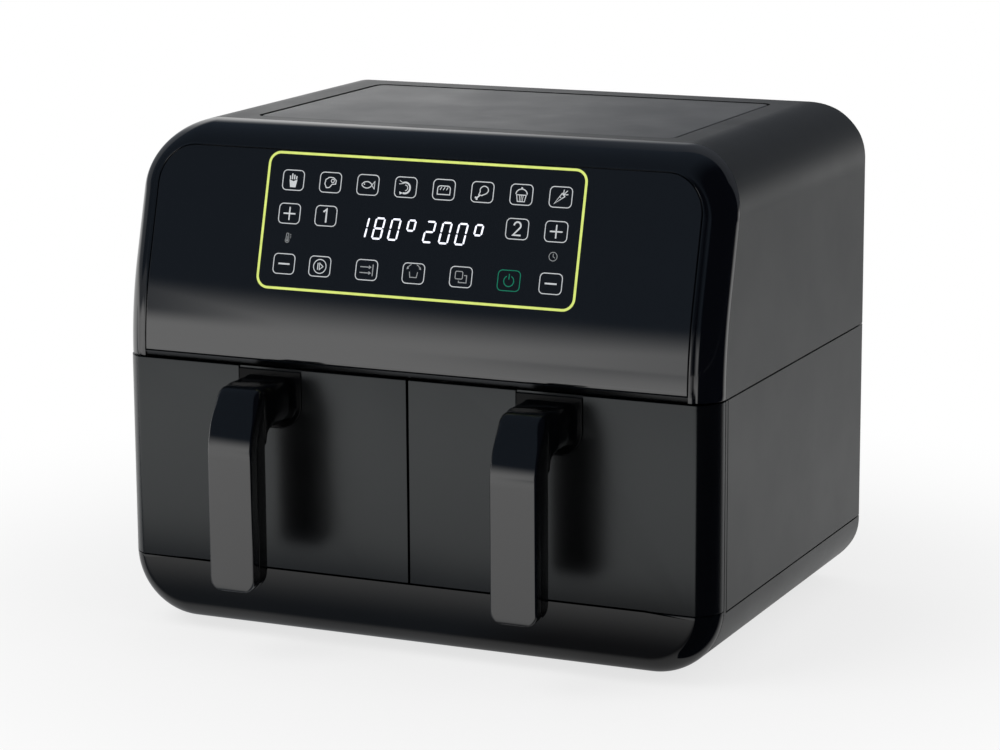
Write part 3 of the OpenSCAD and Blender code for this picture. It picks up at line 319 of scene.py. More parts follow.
class Field:
    """Number in a node tree that plain arithmetic works on."""

    def __init__(self, tree, socket):
        self.tree, self.socket = tree, socket

    def math(self, operation, *values):
        node = add_node(self.tree, "ShaderNodeMath", operation=operation)
        for place, value in zip(node.inputs, values):
            if isinstance(value, Field):
                self.tree.links.new(value.socket, place)
            else:
                place.default_value = value
        return Field(self.tree, node.outputs[0])

    def __add__(self, other):
        return self.math("ADD", self, other)

    def __sub__(self, other):
        return self.math("SUBTRACT", self, other)

    def __rsub__(self, other):
        return self.math("SUBTRACT", other, self)

    def __mul__(self, other):
        return self.math("MULTIPLY", self, other)

    def __truediv__(self, other):
        return self.math("DIVIDE", self, other)

    def larger(self, other):
        return self.math("MAXIMUM", self, other)

    def root(self):
        return self.math("SQRT", self)

    def rise(self, start, end, low=0.0, high=1.0):
        """Smooth step from low to high between start and end."""
        return Field(self.tree, remap(self.tree, self.socket, low, high, start, end, "SMOOTHSTEP"))


# -------------------- materials
# The grain is in cycles per metre, and the depth of the bump in metres.
def plastic(name, base, rough, spread, grain, depth, strength, tone=0.12, spec=0.5, ior=1.5,
            tint=(1.0, 1.0, 1.0)):
    """Moulded plastic: fine texture in the bump, slight change of tone and gloss."""
    m, nt, b = new_mat(name)
    fine = noise(nt, grain, 2.0, 0.55)
    wide = noise(nt, 22.0, 3.0, 0.6)
    nt.links.new(ramp(nt, wide, shade(base, 1 - tone), shade(base, 1 + tone)), b.inputs["Base Color"])
    nt.links.new(remap(nt, wide, max(0.01, rough - spread), rough + spread), b.inputs["Roughness"])
    bump(nt, b, fine, strength, depth)
    b.inputs["Specular IOR Level"].default_value = spec
    b.inputs["Specular Tint"].default_value = (*tint, 1)
    b.inputs["IOR"].default_value = ior
    return m


def gloss(name, base, rough, spec, ior, spread=0.012, grain=60.0):
    """Polished black plastic, with only a faint wave in its surface."""
    return plastic(name, base, rough, spread, grain, 0.00002, 0.03, 0.1, spec, ior)


def metal(name, base, rough, grain, stretch=(1, 1, 1), metallic=1.0):
    """Bare metal: the grain changes both gloss and height."""
    spread = 0.08
    m, nt, b = new_mat(name)
    fine = noise(nt, grain, 4.0, 0.6, stretch)
    wide = noise(nt, 30.0, 3.0, 0.6)
    nt.links.new(ramp(nt, wide, shade(base, 0.86), shade(base, 1.08)), b.inputs["Base Color"])
    nt.links.new(remap(nt, fine, max(0.05, rough - spread), rough + spread), b.inputs["Roughness"])
    bump(nt, b, fine, 0.3, 0.00002)
    b.inputs["Metallic"].default_value = metallic
    return m


def coating(name):
    """Dark non-stick coating with fine pale speckles."""
    m, nt, b = new_mat(name)
    v = add_node(nt, "ShaderNodeTexVoronoi", {"Scale": 700.0})
    nt.links.new(object_place(nt), v.inputs["Vector"])
    spots = ramp(nt, v.outputs["Distance"], (0.11, 0.11, 0.112), (0.028, 0.028, 0.03), 0.10, 0.2)
    nt.links.new(spots, b.inputs["Base Color"])
    fine = noise(nt, 1500.0, 3.0)
    nt.links.new(remap(nt, fine, 0.34, 0.5), b.inputs["Roughness"])
    bump(nt, b, fine, 0.3, 0.00004)
    return m


def board(name):
    """Green lacquered circuit board with paler copper runs."""
    m, nt, b = new_mat(name)
    k = add_node(nt, "ShaderNodeTexBrick", {
        "Scale": 90.0, "Mortar Size": 0.05, "Color1": (0.012, 0.085, 0.035, 1),
        "Color2": (0.016, 0.11, 0.045, 1), "Mortar": (0.05, 0.24, 0.09, 1)})
    nt.links.new(object_place(nt), k.inputs["Vector"])
    nt.links.new(k.outputs["Color"], b.inputs["Base Color"])
    nt.links.new(remap(nt, k.outputs["Fac"], 0.3, 0.42, 0, 1), b.inputs["Roughness"])
    bump(nt, b, k.outputs["Fac"], 0.4, 0.00005)
    return m


def ink(name, base, glow):
    """Back-lit print: nearly even colour, a little uneven where the lamp behind is weaker."""
    m, nt, b = new_mat(name)
    col = ramp(nt, noise(nt, 160.0, 2.0), shade(base, 0.86), base)
    nt.links.new(col, b.inputs["Base Color"])
    nt.links.new(col, b.inputs["Emission Color"])
    b.inputs["Emission Strength"].default_value = glow
    nt.links.new(remap(nt, noise(nt, 1800.0, 2.0), 0.3, 0.5), b.inputs["Roughness"])
    return m


MATERIALS = {
    "housing_plastic": plastic("satin_housing", (0.0152, 0.0164, 0.0169), 0.36, 0.025, 1500.0, 0.00006, 0.3,
                               spec=0.35, tint=(0.93, 0.99, 1.0)),
    "grille_plastic": plastic("matt_grille", (0.018, 0.018, 0.019), 0.5, 0.04, 1500.0, 0.00005, 0.3),
    "gloss_black": gloss("gloss_black", (0.0010, 0.0011, 0.0014), 0.06, 1.0, 1.58),
    "fascia_black": gloss("fascia_gloss", (0.0020, 0.0022, 0.0027), 0.07, 1.0, 1.64, 0.015, 45.0),
    "drawer_black": plastic("drawer_satin_gloss", (0.0010, 0.0011, 0.0013), 0.25, 0.012, 900.0, 0.00003, 0.06,
                            spec=0.72, tint=(0.94, 0.985, 1.0)),
    "top_grey": plastic("top_fine_matt", (0.030, 0.0315, 0.034), 0.34, 0.03, 2200.0, 0.00006, 0.4,
                        spec=0.62, tint=(0.94, 0.98, 1.0)),
    "foot_rubber": plastic("matt_rubber", (0.016, 0.016, 0.016), 0.78, 0.05, 1200.0, 0.00008, 0.5),
    "bumper_silicone": plastic("silicone", (0.09, 0.09, 0.092), 0.6, 0.05, 700.0, 0.00006, 0.4),
    "screw_steel": metal("zinc_steel", (0.52, 0.53, 0.55), 0.32, 1400.0),
    "liner_steel": metal("sheet_steel", (0.56, 0.57, 0.58), 0.3, 500.0, (1, 8, 1)),
    "element_steel": metal("darkened_tube", (0.13, 0.125, 0.12), 0.46, 800.0),
    "fan_aluminium": metal("pressed_aluminium", (0.66, 0.67, 0.68), 0.34, 700.0),
    "motor_metal": metal("motor_can", (0.33, 0.34, 0.35), 0.42, 900.0, metallic=0.6),
    "pan_coating": coating("nonstick_coating"),
    "circuit_board": board("circuit_board"),
    "dark_component": plastic("moulded_component", (0.03, 0.03, 0.032), 0.5, 0.05, 1400.0, 0.00004, 0.3),
    "switch_button": plastic("red_plunger", (0.42, 0.02, 0.012), 0.4, 0.04, 1400.0, 0.00003, 0.2),
}
# parts of the gloss black slot that the photograph shows duller than the bezel
SKIRT_BLACK = gloss("skirt_black", (0.0010, 0.0012, 0.0014), 0.07, 0.5, 1.58)
CORE_BLACK = gloss("core_black", (0.0010, 0.0011, 0.0013), 0.08, 0.22, 1.5)
SILL_BLACK = plastic("sill_soft_gloss", (0.0010, 0.0011, 0.0014), 0.24, 0.012, 900.0, 0.00003, 0.06,
                     spec=0.9, ior=1.58)
PLATE_BLACK = plastic("plate_black", (0.0010, 0.0011, 0.0013), 0.18, 0.012, 900.0, 0.00002, 0.05, spec=0.14)
INK_WHITE = ink("print_white", (0.62, 0.64, 0.66), 0.22)
INK_DIM = ink("print_grey", (0.36, 0.375, 0.385), 0.10)
INK_LIT = ink("display_light", (0.88, 0.9, 1.0), 0.75)
INK_LIME = ink("print_lime", (0.74, 0.86, 0.20), 0.22)
INK_GREEN = ink("print_green", (0.0, 0.23, 0.13), 0.10)

slot_of = {p["node"]: p["material_slot"] for p in frame["record"]["subparts"]}
for node_name, ob in frame["nodes"].items():
    mat = MATERIALS[slot_of[node_name]]
    if ob.material_slots:
        for s in ob.material_slots:
            s.material = mat
    else:
        ob.data.materials.append(mat)


# -------------------- bezel and panels
def rim_lift(t):
    """Rise of the rim's upper line at inset t: the rim is narrower above the fascia than beside it."""
    return 4.0 * clamp((t - BEVEL_WIDTH) / RIM_WIDTH)


def bezel():
    """Bevelled frame round the control fascia, lofted along the curved front."""
    fall = 1.15                   # of the rim, from the fascia to the bevel
    flush_to = SEAM_Z + 4.0       # below this height the rim is level with the drawers
    base = SEAM_Z + HALF_SEAM
    end = base + ENDS[-1][0]
    side_steps = 34
    # (inset, line that the depth starts from, depth in mm or as a share of the bevel)
    section = [(RIM + 7, "back", 5.0), (RIM + 7, "back", 3.0), (RIM, "back", 3.0), (RIM, "face", 0.4),
               (RIM - 0.12, "face", 0.12), (RIM - 0.4, "face", 0.03), (RIM - 1.0, "face", 0.12),
               (FLAT_EDGE, "face", 0.72)]
    section += [(t, "bevel", r) for t, r in edge_profile()]
    section += [(1.4, "bevel", 1.0), (2.6, "bevel", 0.98), (2.6, "bevel", 0.78), (9.4, "back", 6.2)]

    def depth(z, how, amount):
        if how == "bevel":
            return fall + (bevel_y(z) - front_y(z) - fall) * amount
        return 0.0 if how == "face" and z < flush_to else amount

    def row(height, angle=0.0, e=0.0):
        """Section at a height on the side, or from there on round the corner; e rounds its end."""
        along = (height - base) / (CROWN_Z - base)
        points = []
        for t, how, amount in section:
            share = amount if how == "bevel" else 0.0
            inset = t + e * share
            r = TOP_RADIUS - inset
            x = WIDTH / 2 - inset - r + r * cos(angle)
            z = height + rim_lift(inset) * along + r * sin(angle)
            back_off = 0.0 if how == "back" else e * (1 - share)
            points.append((-x, front_y(z) + depth(z, how, amount) + back_off, z))
        return points

    rows = [row(base + d, e=e) for d, e in ENDS]
    rows += [row(end + (CROWN_Z - end) * i / side_steps) for i in range(1, side_steps + 1)]
    rows += [row(CROWN_Z, pi / 2 * i / CORNER_STEPS) for i in range(1, CORNER_STEPS + 1)]
    piece(loft("front_bezel_looks", both_halves(rows)), "housing", "gloss_black", ("front_bezel",))


def sill():
    """Glossy strip under the fascia, between the two rims."""
    base = SEAM_Z + HALF_SEAM
    section = [(2.0, 0.0), (1.75, 0.12), (1.6, 0.4), (0.95, 1.7), (0.35, 2.9), (0.2, 3.25), (0.3, 3.45),
               (0.5, 3.5), (3.0, 3.5), (3.0, 8.5), (5.8, 8.5), (5.8, 0.0)]      # (depth, height)
    rows = [[(x, front_y(base + h) + depth, base + h) for depth, h in section]
            for x in (RIM - WIDTH / 2, WIDTH / 2 - RIM)]
    piece(loft("front_sill_looks", rows), "housing", "gloss_black", mat=SILL_BLACK)


def fascia():
    """Gloss control panel: a sheet that follows the curved, leaning front."""
    gap, low = 0.5, SEAM_Z + 4.5
    side_steps, corner_steps = 46, 22
    rings = [(0.0, 2.4), (0.0, 0.45), (0.06, 0.2), (0.2, 0.06), (0.45, 0.0)]    # (inset, depth)

    def outline(inset):
        t = RIM + gap + inset
        w, r, top, base = WIDTH / 2 - t, TOP_RADIUS - t, TOP - t + rim_lift(t), low + inset
        left = [(-w, base + (top - r - base) * i / side_steps) for i in range(side_steps + 1)]
        for i in range(1, corner_steps + 1):
            a = radians(90 * i / corner_steps)
            left.append((-(w - r) - r * cos(a), top - r + r * sin(a)))
        return closed_outline(left)

    rows = [[(x, front_y(z) + depth, z) for x, z in outline(inset)] for inset, depth in rings]
    c = len(rows[0])
    front = (len(rows) - 1) * c
    faces = grid_faces(len(rows), c, close=True)
    faces += [(front + i, front + i + 1, front + c - 2 - i, front + c - 1 - i) for i in range(c // 2 - 1)]
    faces += [(i, c - 1 - i, c - 2 - i, i + 1) for i in range(c // 2 - 1)]
    shape = closed_shape("control_fascia_looks", sum(rows, []), faces)
    piece(shape, "housing", "fascia_black", ("control_fascia",))


def skirt():
    """Glossy lower skirt with the bevel carried round its two corners."""
    top = DRAWER_Z - 0.2
    inner, back = BASE_RADIUS - 1, 2.6
    centre_x, centre_z = WIDTH / 2 - BASE_RADIUS, FOOT + BASE_RADIUS
    section = [(inner, "face", 0.0), (FLAT_EDGE, "face", 0.0)]
    section += [(t, "bevel", r) for t, r in edge_profile()]
    section += [(1.2, "back", BEVEL_DEPTH), (2.6, "back", BEVEL_DEPTH), (2.6, "back", BEVEL_DEPTH - 8),
                (14.0, "back", back), (inner, "back", back)]

    def in_end(r, drop, push):
        """(x, z) of a line of the section in the rounded upper end."""
        z = top - drop
        run = sqrt(max(r * r - (centre_z - z) ** 2, 0.0))
        return max(run - push, 0.0), z

    def in_corner(r, turn):
        """(x, z) of a line of the section in the corner; turn runs from 0 to 1."""
        rise = centre_z - top + ENDS[-1][0]
        start = asin(min(1.0, rise / max(r, rise + 1e-6)))
        a = start + (pi / 2 - start) * turn
        return r * cos(a), centre_z - r * sin(a)

    def row(turn, drop=0.0, e=0.0):
        points = []
        for t, how, amount in section:
            share = {"face": 0.0, "bevel": amount, "back": 1.0}[how]
            r = BASE_RADIUS - t
            x, z = in_corner(r, turn) if turn else in_end(r, drop, e * share)
            depth = BEVEL_DEPTH * amount if how == "bevel" else amount
            points.append((-(centre_x + x), FRONT + depth + e * (1 - share), z))
        return points

    left = [row(0.0, drop, e) for drop, e in ENDS]
    left += [row(i / CORNER_STEPS) for i in range(1, CORNER_STEPS + 1)]
    rows = both_halves(left)
    c, last = len(section), len(rows) - 1
    faces = grid_faces(len(rows), c)
    # flat face between the two corners, its back and its upper edge
    for i in range(len(left) - 1):
        j = last - i
        faces.append((i * c, (i + 1) * c, (j - 1) * c, j * c))
        faces.append((i * c + c - 1, j * c + c - 1, (j - 1) * c + c - 1, (i + 1) * c + c - 1))
    faces.append((*range(c), *reversed(range(last * c, (last + 1) * c))))
    shape = closed_shape("front_skirt_looks", sum(rows, []), faces)
    piece(shape, "housing", "gloss_black", ("front_skirt",), SKIRT_BLACK)


def top_panel():
    """Inset roof panel, level with the roof and set in a dark groove."""
    width, front, rear, radius, groove = 272.0, FRONT + 73.3, FRONT + 244.6, 8.0, 1.9
    rows = []
    for inset, drop in [(0.0, 2.4), (0.0, 0.62), (0.06, 0.45), (0.22, 0.33), (0.5, 0.28), (1.4, 0.25)]:
        g = groove + inset
        loop = rounded(0.0, (front + rear) / 2, width - 2 * g, rear - front - 2 * g, radius - g, 12)
        rows.append([(x, y, TOP - drop) for x, y in loop])
    piece(loft("top_panel_looks", rows), "housing", "top_grey", ("top_panel",))


# -------------------- drawers
# Drawers and handles are written for the right side and mirrored for the left.
SIDES = {"left": -1, "right": 1}
PLATE_HALF, PLATE_RADIUS, PLATE_LOW, PLATE_TOP = 20.5, 15.0, SEAM_Z - 36, SEAM_Z - 1.7


def drawer_piece(part, side, rows, slot, mat=None):
    ob = loft(part + "_looks_" + side, on_side(rows, SIDES[side]))
    return piece(ob, "drawer_" + side, slot, (part + "_" + side,), mat)


def plate_outline(grow, top):
    """Outline of the handle plate, larger by grow: straight at the top, round at the foot."""
    w, r, low = PLATE_HALF + grow, PLATE_RADIUS + grow, PLATE_LOW - grow
    half = [(w, top)]
    for i in range(17):
        a = radians(-90 * i / 16)
        half.append((w - r + r * cos(a), low + r + r * sin(a)))
    return [(HANDLE_X + x, z) for x, z in closed_outline(half)]


def drawer_front(side):
    """Front of one drawer: its share of the bevel, rounded edges, and the seat of the handle plate."""
    low, high, back = DRAWER_Z + 0.28, SEAM_Z - HALF_SEAM, FRONT + 17.1
    inner, corner, seat_gap, seat_depth = 0.6, 0.45, 0.5, 1.2
    plan = [(inner, back), (inner, FRONT + 6.0)]
    for i in range(5):
        a = radians(22.5 * i)
        plan.append((inner + corner - corner * cos(a), FRONT + corner - corner * sin(a)))
    plan += [(30.0, FRONT), (WIDTH / 2 - FLAT_EDGE, FRONT)]
    plan += [(WIDTH / 2 - t, FRONT + BEVEL_DEPTH * r) for t, r in edge_profile()]
    plan[-1] = (WIDTH / 2, back)
    normals = path_normals(plan)
    edge = [(0.0, 0.25), (0.03, 0.15), (0.09, 0.06), (0.17, 0.015), (0.25, 0.0)]        # (distance, inset)
    levels = [(low + d, e) for d, e in edge] + [(high - d, e) for d, e in reversed(edge)]
    rows = [[(x - nx * e, min(y - ny * e, back), z) for (x, y), (nx, ny) in zip(plan, normals)]
            for z, e in levels]
    ob = drawer_piece("drawer_front", side, rows, "drawer_black")
    seat = [[(x, y, z) for x, z in plate_outline(seat_gap, SEAM_Z + 6)]
            for y in (FRONT - 5, FRONT + seat_depth)]
    combine(ob, loft("seat", on_side(seat, SIDES[side])), "DIFFERENCE")


def handle_plate(side):
    """Plate on the drawer that the neck of the handle stands on."""
    rings = [(0.0, 1.2), (0.0, 0.0), (0.04, -0.2), (0.16, -0.34), (0.4, -0.4)]  # (inset, depth)
    rows = [[(x, FRONT + depth, z) for x, z in plate_outline(-inset, PLATE_TOP - inset)]
            for inset, depth in rings]
    drawer_piece("handle_plate", side, rows, "gloss_black", PLATE_BLACK)


# -------------------- handles
# Y of the handles is counted from the drawer front, and Z from the ground.
GRIP_LOW, GRIP_TOP = FOOT + 38.2, FOOT + 157.0
GRIP_FRONT, GRIP_BACK = -HANDLE_REACH, -HANDLE_REACH + 20.8
GRIP_WIDTH, GRIP_CORNER, HEEL, COVER_DEPTH = 28.5, 7.0, 12.0, 7.6


def fillet(path, radii):
    """Rounds the corners of an open polyline of (y, z) points."""
    steps = 14
    out = [path[0]]
    for a, b, c, r in zip(path, path[1:], path[2:], radii):
        a, b, c = Vector(a), Vector(b), Vector(c)
        u, v = (a - b).normalized(), (c - b).normalized()
        half = acos(u.dot(v)) / 2
        centre = b + (u + v).normalized() * (r / sin(half))
        p, q = b + u * (r / tan(half)), b + v * (r / tan(half))
        start = atan2(p.y - centre.y, p.x - centre.x)
        turn = atan2(q.y - centre.y, q.x - centre.x) - start
        turn = (turn + pi) % (2 * pi) - pi
        for k in range(steps + 1):
            angle = start + turn * k / steps
            out.append((centre.x + r * cos(angle), centre.y + r * sin(angle)))
    return out + [path[-1]]


def between(a, b, n):
    """Points at each of n equal steps from a towards b, the last one on b."""
    return [(a[0] + (b[0] - a[0]) * k / n, a[1] + (b[1] - a[1]) * k / n) for k in range(1, n + 1)]


def dense(path):
    """The path with long stretches divided every 3 mm or so."""
    out = [path[0]]
    for a, b in zip(path, path[1:]):
        out += between(a, b, max(1, int(dist(a, b) / 3.0)))
    return out


FRONT_PATH = dense(fillet([(GRIP_FRONT, GRIP_LOW), (GRIP_FRONT, GRIP_LOW + 90.05),
                           (GRIP_FRONT + 12.56, GRIP_TOP), (GRIP_FRONT + 19.2, GRIP_TOP)], [52.0, 9.5]))
FRONT_NORMALS = path_normals(FRONT_PATH)
COVER_BACK = [(y + COVER_DEPTH * ny, z + COVER_DEPTH * nz)
              for (y, z), (ny, nz) in zip(FRONT_PATH, FRONT_NORMALS)]


def half_width(z):
    """Half the grip's width at height z, with its rounded lower corners."""
    rise = min(z - GRIP_LOW, GRIP_CORNER)
    return GRIP_WIDTH / 2 - GRIP_CORNER + sqrt(GRIP_CORNER ** 2 - (GRIP_CORNER - rise) ** 2)


def grip_back(z):
    """Y of the grip's rear face at height z, with its round heel."""
    rise = min(z - GRIP_LOW, HEEL)
    return GRIP_BACK - HEEL + sqrt(HEEL ** 2 - (HEEL - rise) ** 2)


def cover_back(z):
    """Y of the cover's rear face at height z."""
    y = COVER_BACK[0][0] if z < COVER_BACK[0][1] else COVER_BACK[-1][0]
    for (ya, za), (yb, zb) in zip(COVER_BACK, COVER_BACK[1:]):
        if za <= z <= zb and zb > za:
            y = ya + (yb - ya) * (z - za) / (zb - za)
    return y


def handle_cover(side):
    """Front shell of the grip: a band that runs up the grip and over its top."""
    # lower end: (height, rounding), and the heights up to where the path takes over
    end = [(0.0, 1.0), (0.12, 0.55), (0.4, 0.22)] + [(h, 0.0) for h in (1.0, 1.6, 2.4, 3.4, 4.6, 5.8, 7.0)]
    places = [((GRIP_FRONT, GRIP_LOW + h), (1.0, 0.0), e) for h, e in end]
    places += [(p, n, 0.0) for p, n in zip(FRONT_PATH, FRONT_NORMALS) if p[1] > GRIP_LOW + 7.5]
    # the edges are rounder over the upper bend
    low_radius, top_radius, bend, bend_run = 1.5, 4.8, GRIP_TOP - 20.0, 17.0
    rows = []
    for (y, z), (ny, nz), e in places:
        w = half_width(z) - e * 0.6
        r = low_radius + (top_radius - low_radius) * ease((z - bend) / bend_run)
        half = [(-w, COVER_DEPTH)] + [(-w + r - r * cos(a), e + r - r * sin(a)) for a in QUARTER]
        rows.append([(HANDLE_X + x, FRONT + y + d * ny, z + d * nz) for x, d in closed_outline(half)])
    drawer_piece("handle_cover", side, rows, "gloss_black")


def grip_rows():
    """Rear half of the grip, with a groove where it meets the cover."""
    groove_width, groove_depth, corner = 0.9, 0.8, 0.15
    least_depth, least_flat, edge_radius = 3.4, 1.6, 4.0
    bend = GRIP_TOP - 34.0
    levels = [GRIP_LOW + h for h in (0, 0.1, 0.4, 0.9, 1.6, 2.5, 3.6, 4.8, 6.0, 7.4, 9, 11)]
    heel = levels[-1]
    levels += [heel + (bend - heel) * i / 8 for i in range(1, 9)]
    levels += [bend + h for h in (*range(2, 25, 2), 25.5)]
    rows = []
    for z in levels:
        w, front = half_width(z), cover_back(z)
        back = max(grip_back(z), front + least_depth)
        r = min(edge_radius, back - front - least_flat, w - 1)
        half = [(-w + groove_width, front), (-w + groove_width, front + groove_depth),
                (-w + corner, front + groove_depth), (-w, front + groove_depth + corner)]
        half += [(-w + r - r * cos(a), back - r + r * sin(a)) for a in QUARTER]
        rows.append([(HANDLE_X + x, FRONT + y, z) for x, y in closed_outline(half)])
    return rows


def neck_rows():
    """Rounded block from the grip back to the plate, filleted into the grip underneath."""
    inner, outer, low, run = GRIP_WIDTH / 2 - 0.2, 16.5, GRIP_TOP - 27.0, 8.0
    under_fillet, top_radius = 9.0, 5.5
    arc_angles = [radians(9 * k) for k in range(11)]
    # (y, rounding of the end, half width)
    places = [(GRIP_FRONT + 19.35, 0.5, inner), (GRIP_FRONT + 19.5, 0.15, inner),
              (GRIP_FRONT + 19.9, 0.0, inner), (GRIP_FRONT + 20.6, 0.0, inner)]
    start = GRIP_BACK + 0.2
    for u in [k / 8 for k in range(9)]:
        places.append((start + (GRIP_BACK + run - start) * u, 0.0, inner + (outer - inner) * ease(u)))
    places += [(-12.0, 0.0, outer), (-4.0, 0.0, outer), (-1.6, 0.0, outer + 0.1), (-0.9, 0.0, outer + 0.4),
               (-0.4, 0.0, outer + 0.9)]
    rows = []
    for y, e, w in places:
        u = clamp((y - GRIP_BACK) / run)
        top, foot = GRIP_TOP - e, low - under_fillet * (1 - sqrt(1 - (1 - u) ** 2)) + e
        w, rt, rb = w - e, top_radius, 5.0 + 5.0 * u
        half = [(w - rt + rt * sin(a), top - rt + rt * cos(a)) for a in arc_angles]
        half += [(w - rb + rb * cos(a), foot + rb - rb * sin(a)) for a in arc_angles]
        rows.append([(HANDLE_X + x, FRONT + y, z) for x, z in closed_outline(half)])
    return rows


def handle_core(side):
    """Rear half of the grip with the neck that reaches back to the plate."""
    ob = drawer_piece("handle_core", side, grip_rows(), "gloss_black", CORE_BLACK)
    neck = loft("neck", on_side(neck_rows(), SIDES[side]))
    neck.data.materials.append(CORE_BLACK)
    combine(ob, neck, "UNION")


bezel()
sill()
fascia()
skirt()
top_panel()
for side in SIDES:
    drawer_front(side)
    handle_plate(side)
    handle_cover(side)
    handle_core(side)


# -------------------- print on the fascia
# Points of the print are (x, distance along the fascia's surface from the seam).
INK_LIFT, INK_THICK = 0.05, 0.04
CENTRE = 1.0
KEY_WIDTH, KEY_HEIGHT, KEY_RADIUS, KEY_LINE = 13.8, 11.8, 2.6, 0.5
ROW1, ROW2, ROW3 = 111.4, 91.6, 61.8
COLS = [CENTRE - 84.5 + 24.43 * i for i in range(8)]


def on_surface(x, s, lift):
    """Point of the fascia at arc length s above the seam, lifted off it."""
    a = min(s / LEAN_RADIUS, LEAN_ANGLE)
    beyond = max(s - LEAN_RADIUS * LEAN_ANGLE, 0.0)
    y = ARC_Y - LEAN_RADIUS * cos(a) + beyond * sin(a)
    z = SEAM_Z + LEAN_RADIUS * sin(a) + beyond * cos(a)
    return (x, y - lift * cos(a), z + lift * sin(a))


class Print:
    """Strokes and filled shapes of one ink."""

    def __init__(self):
        self.points, self.faces = [], []

    def stroke(self, pts, width, closed=False):
        """Line of constant width with mitred corners and square ends."""
        n, first = len(pts), len(self.points)
        for i, p in enumerate(pts):
            ways = []
            if i > 0 or closed:
                ways.append(direction(pts[i - 1], p))
            if i < n - 1 or closed:
                ways.append(direction(p, pts[(i + 1) % n]))
            tx, ty = direction((0, 0), (sum(w[0] for w in ways), sum(w[1] for w in ways)))
            mitre = min(1.0 / max(ways[0][0] * tx + ways[0][1] * ty, 0.35), 2.0)
            nx, ny = -ty * width / 2 * mitre, tx * width / 2 * mitre
            self.points += [(p[0] + nx, p[1] + ny), (p[0] - nx, p[1] - ny)]
        for i in range(n if closed else n - 1):
            a, b = first + 2 * i, first + 2 * ((i + 1) % n)
            self.faces.append((a, a + 1, b + 1, b))

    def fill(self, pts):
        self.faces.append(tuple(range(len(self.points), len(self.points) + len(pts))))
        self.points += pts

    def make(self, name, mat):
        me = new_mesh(name, [on_surface(x, s, INK_LIFT + INK_THICK) for x, s in self.points], self.faces)
        bm = bmesh.new()
        bm.from_mesh(me)
        bmesh.ops.triangulate(bm, faces=[f for f in bm.faces if len(f.verts) > 4])
        for f in bm.faces:
            if f.normal.y > 0:
                f.normal_flip()
        bm.to_mesh(me)
        bm.free()
        ob = add_object(name, me)
        me.materials.append(mat)
        layer = ob.modifiers.new("ink", "SOLIDIFY")
        layer.thickness = INK_THICK * MM
        layer.offset = -1
        settle(ob)
        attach(ob, "housing")


class Pen:
    """Draws on a print round a place of its own."""

    def __init__(self, ink_print, x, s):
        self.print, self.x, self.s = ink_print, x, s

    def placed(self, pts):
        return [(self.x + x, self.s + s) for x, s in pts]

    def line(self, pts, width, closed=False):
        self.print.stroke(self.placed(pts), width, closed)

    def fill(self, pts):
        self.print.fill(self.placed(pts))

    def circle(self, x, s, r, width, n):
        self.line(arc(x, s, r, 0, 360, n)[:-1], width, closed=True)

    def dot(self, x, s, r, n=8):
        self.fill(arc(x, s, r, 0, 330, n))

    def key(self):
        self.line(rounded(0, 0, KEY_WIDTH, KEY_HEIGHT, KEY_RADIUS), KEY_LINE, closed=True)


def arc(cx, cy, r, start, end, n, ry=None):
    """Arc of a circle, or of an ellipse with the upright half axis ry."""
    angles = [radians(start + (end - start) * i / n) for i in range(n + 1)]
    return [(cx + r * cos(a), cy + (ry or r) * sin(a)) for a in angles]


def follow_face(pts):
    """The closed outline with a point about every 4 mm, so that it follows the curved face."""
    out = []
    for a, b in zip(pts, pts[1:] + pts[:1]):
        out += [a] + between(a, b, int(dist(a, b) / 4.0) + 1)[:-1]
    return out


def potato_sticks(pen):
    pen.fill([(-2.6, 0.4), (-1.8, -4.2), (1.8, -4.2), (2.6, 0.4), (0, -0.6)])
    for x, top in ((-2.0, 2.6), (-0.75, 3.9), (0.55, 3.2), (1.85, 2.5)):
        pen.line([(x, 0.5), (x * 1.12, top)], 0.75)


def chop(pen):
    pen.line([(-3.6, -1.0), (-3.2, 1.6), (-1.0, 3.0), (1.8, 2.9), (3.7, 1.2), (3.4, -0.8), (1.2, -1.0),
              (-0.4, -3.0), (-2.4, -3.2)], 0.55, closed=True)
    pen.circle(1.4, 1.0, 1.0, 0.45, 12)


def fish(pen):
    pen.line(arc(-0.7, -2.0, 3.9, 148, 32, 12), 0.55)
    pen.line(arc(-0.7, 2.0, 3.9, 212, 328, 12), 0.55)
    pen.line([(2.6, 0.1), (4.3, 2.2), (4.3, -2.2), (2.6, -0.1)], 0.5)
    pen.dot(-2.3, 0.3, 0.42)


def prawn(pen):
    pen.line(arc(-0.4, -0.4, 3.2, 120, -110, 16), 1.0)
    pen.line(arc(-0.4, -0.4, 1.7, 95, -80, 12), 0.45)
    pen.line([(-1.9, 2.4), (-4.2, 3.8)], 0.4)
    pen.line([(-1.9, 2.0), (-4.4, 1.8)], 0.4)
    pen.fill([(-1.4, -3.4), (-3.8, -2.6), (-3.4, -4.4)])


def loaf(pen):
    crust = arc(-2.3, 0.4, 1.75, 180, 90, 6) + arc(2.3, 0.4, 1.75, 90, 0, 6)
    pen.line([(-4.0, -2.8), (-4.0, 0.2)] + crust + [(4.0, -2.8)], 0.55, closed=True)
    for x in (-1.9, 0.1, 2.1):
        pen.line([(x - 0.5, -0.2), (x + 0.4, 1.5)], 0.45)


def leg(pen):
    meat = arc(1.0, 1.1, 2.6, -15, 200, 16, 2.4) + [(-2.2, -1.6), (-0.4, -2.0), (2.6, -0.7)]
    pen.line(meat, 0.55, closed=True)
    pen.line([(-1.5, -1.9), (-3.4, -3.6)], 0.8)
    pen.dot(-3.9, -3.3, 0.62)
    pen.dot(-3.2, -4.1, 0.62)


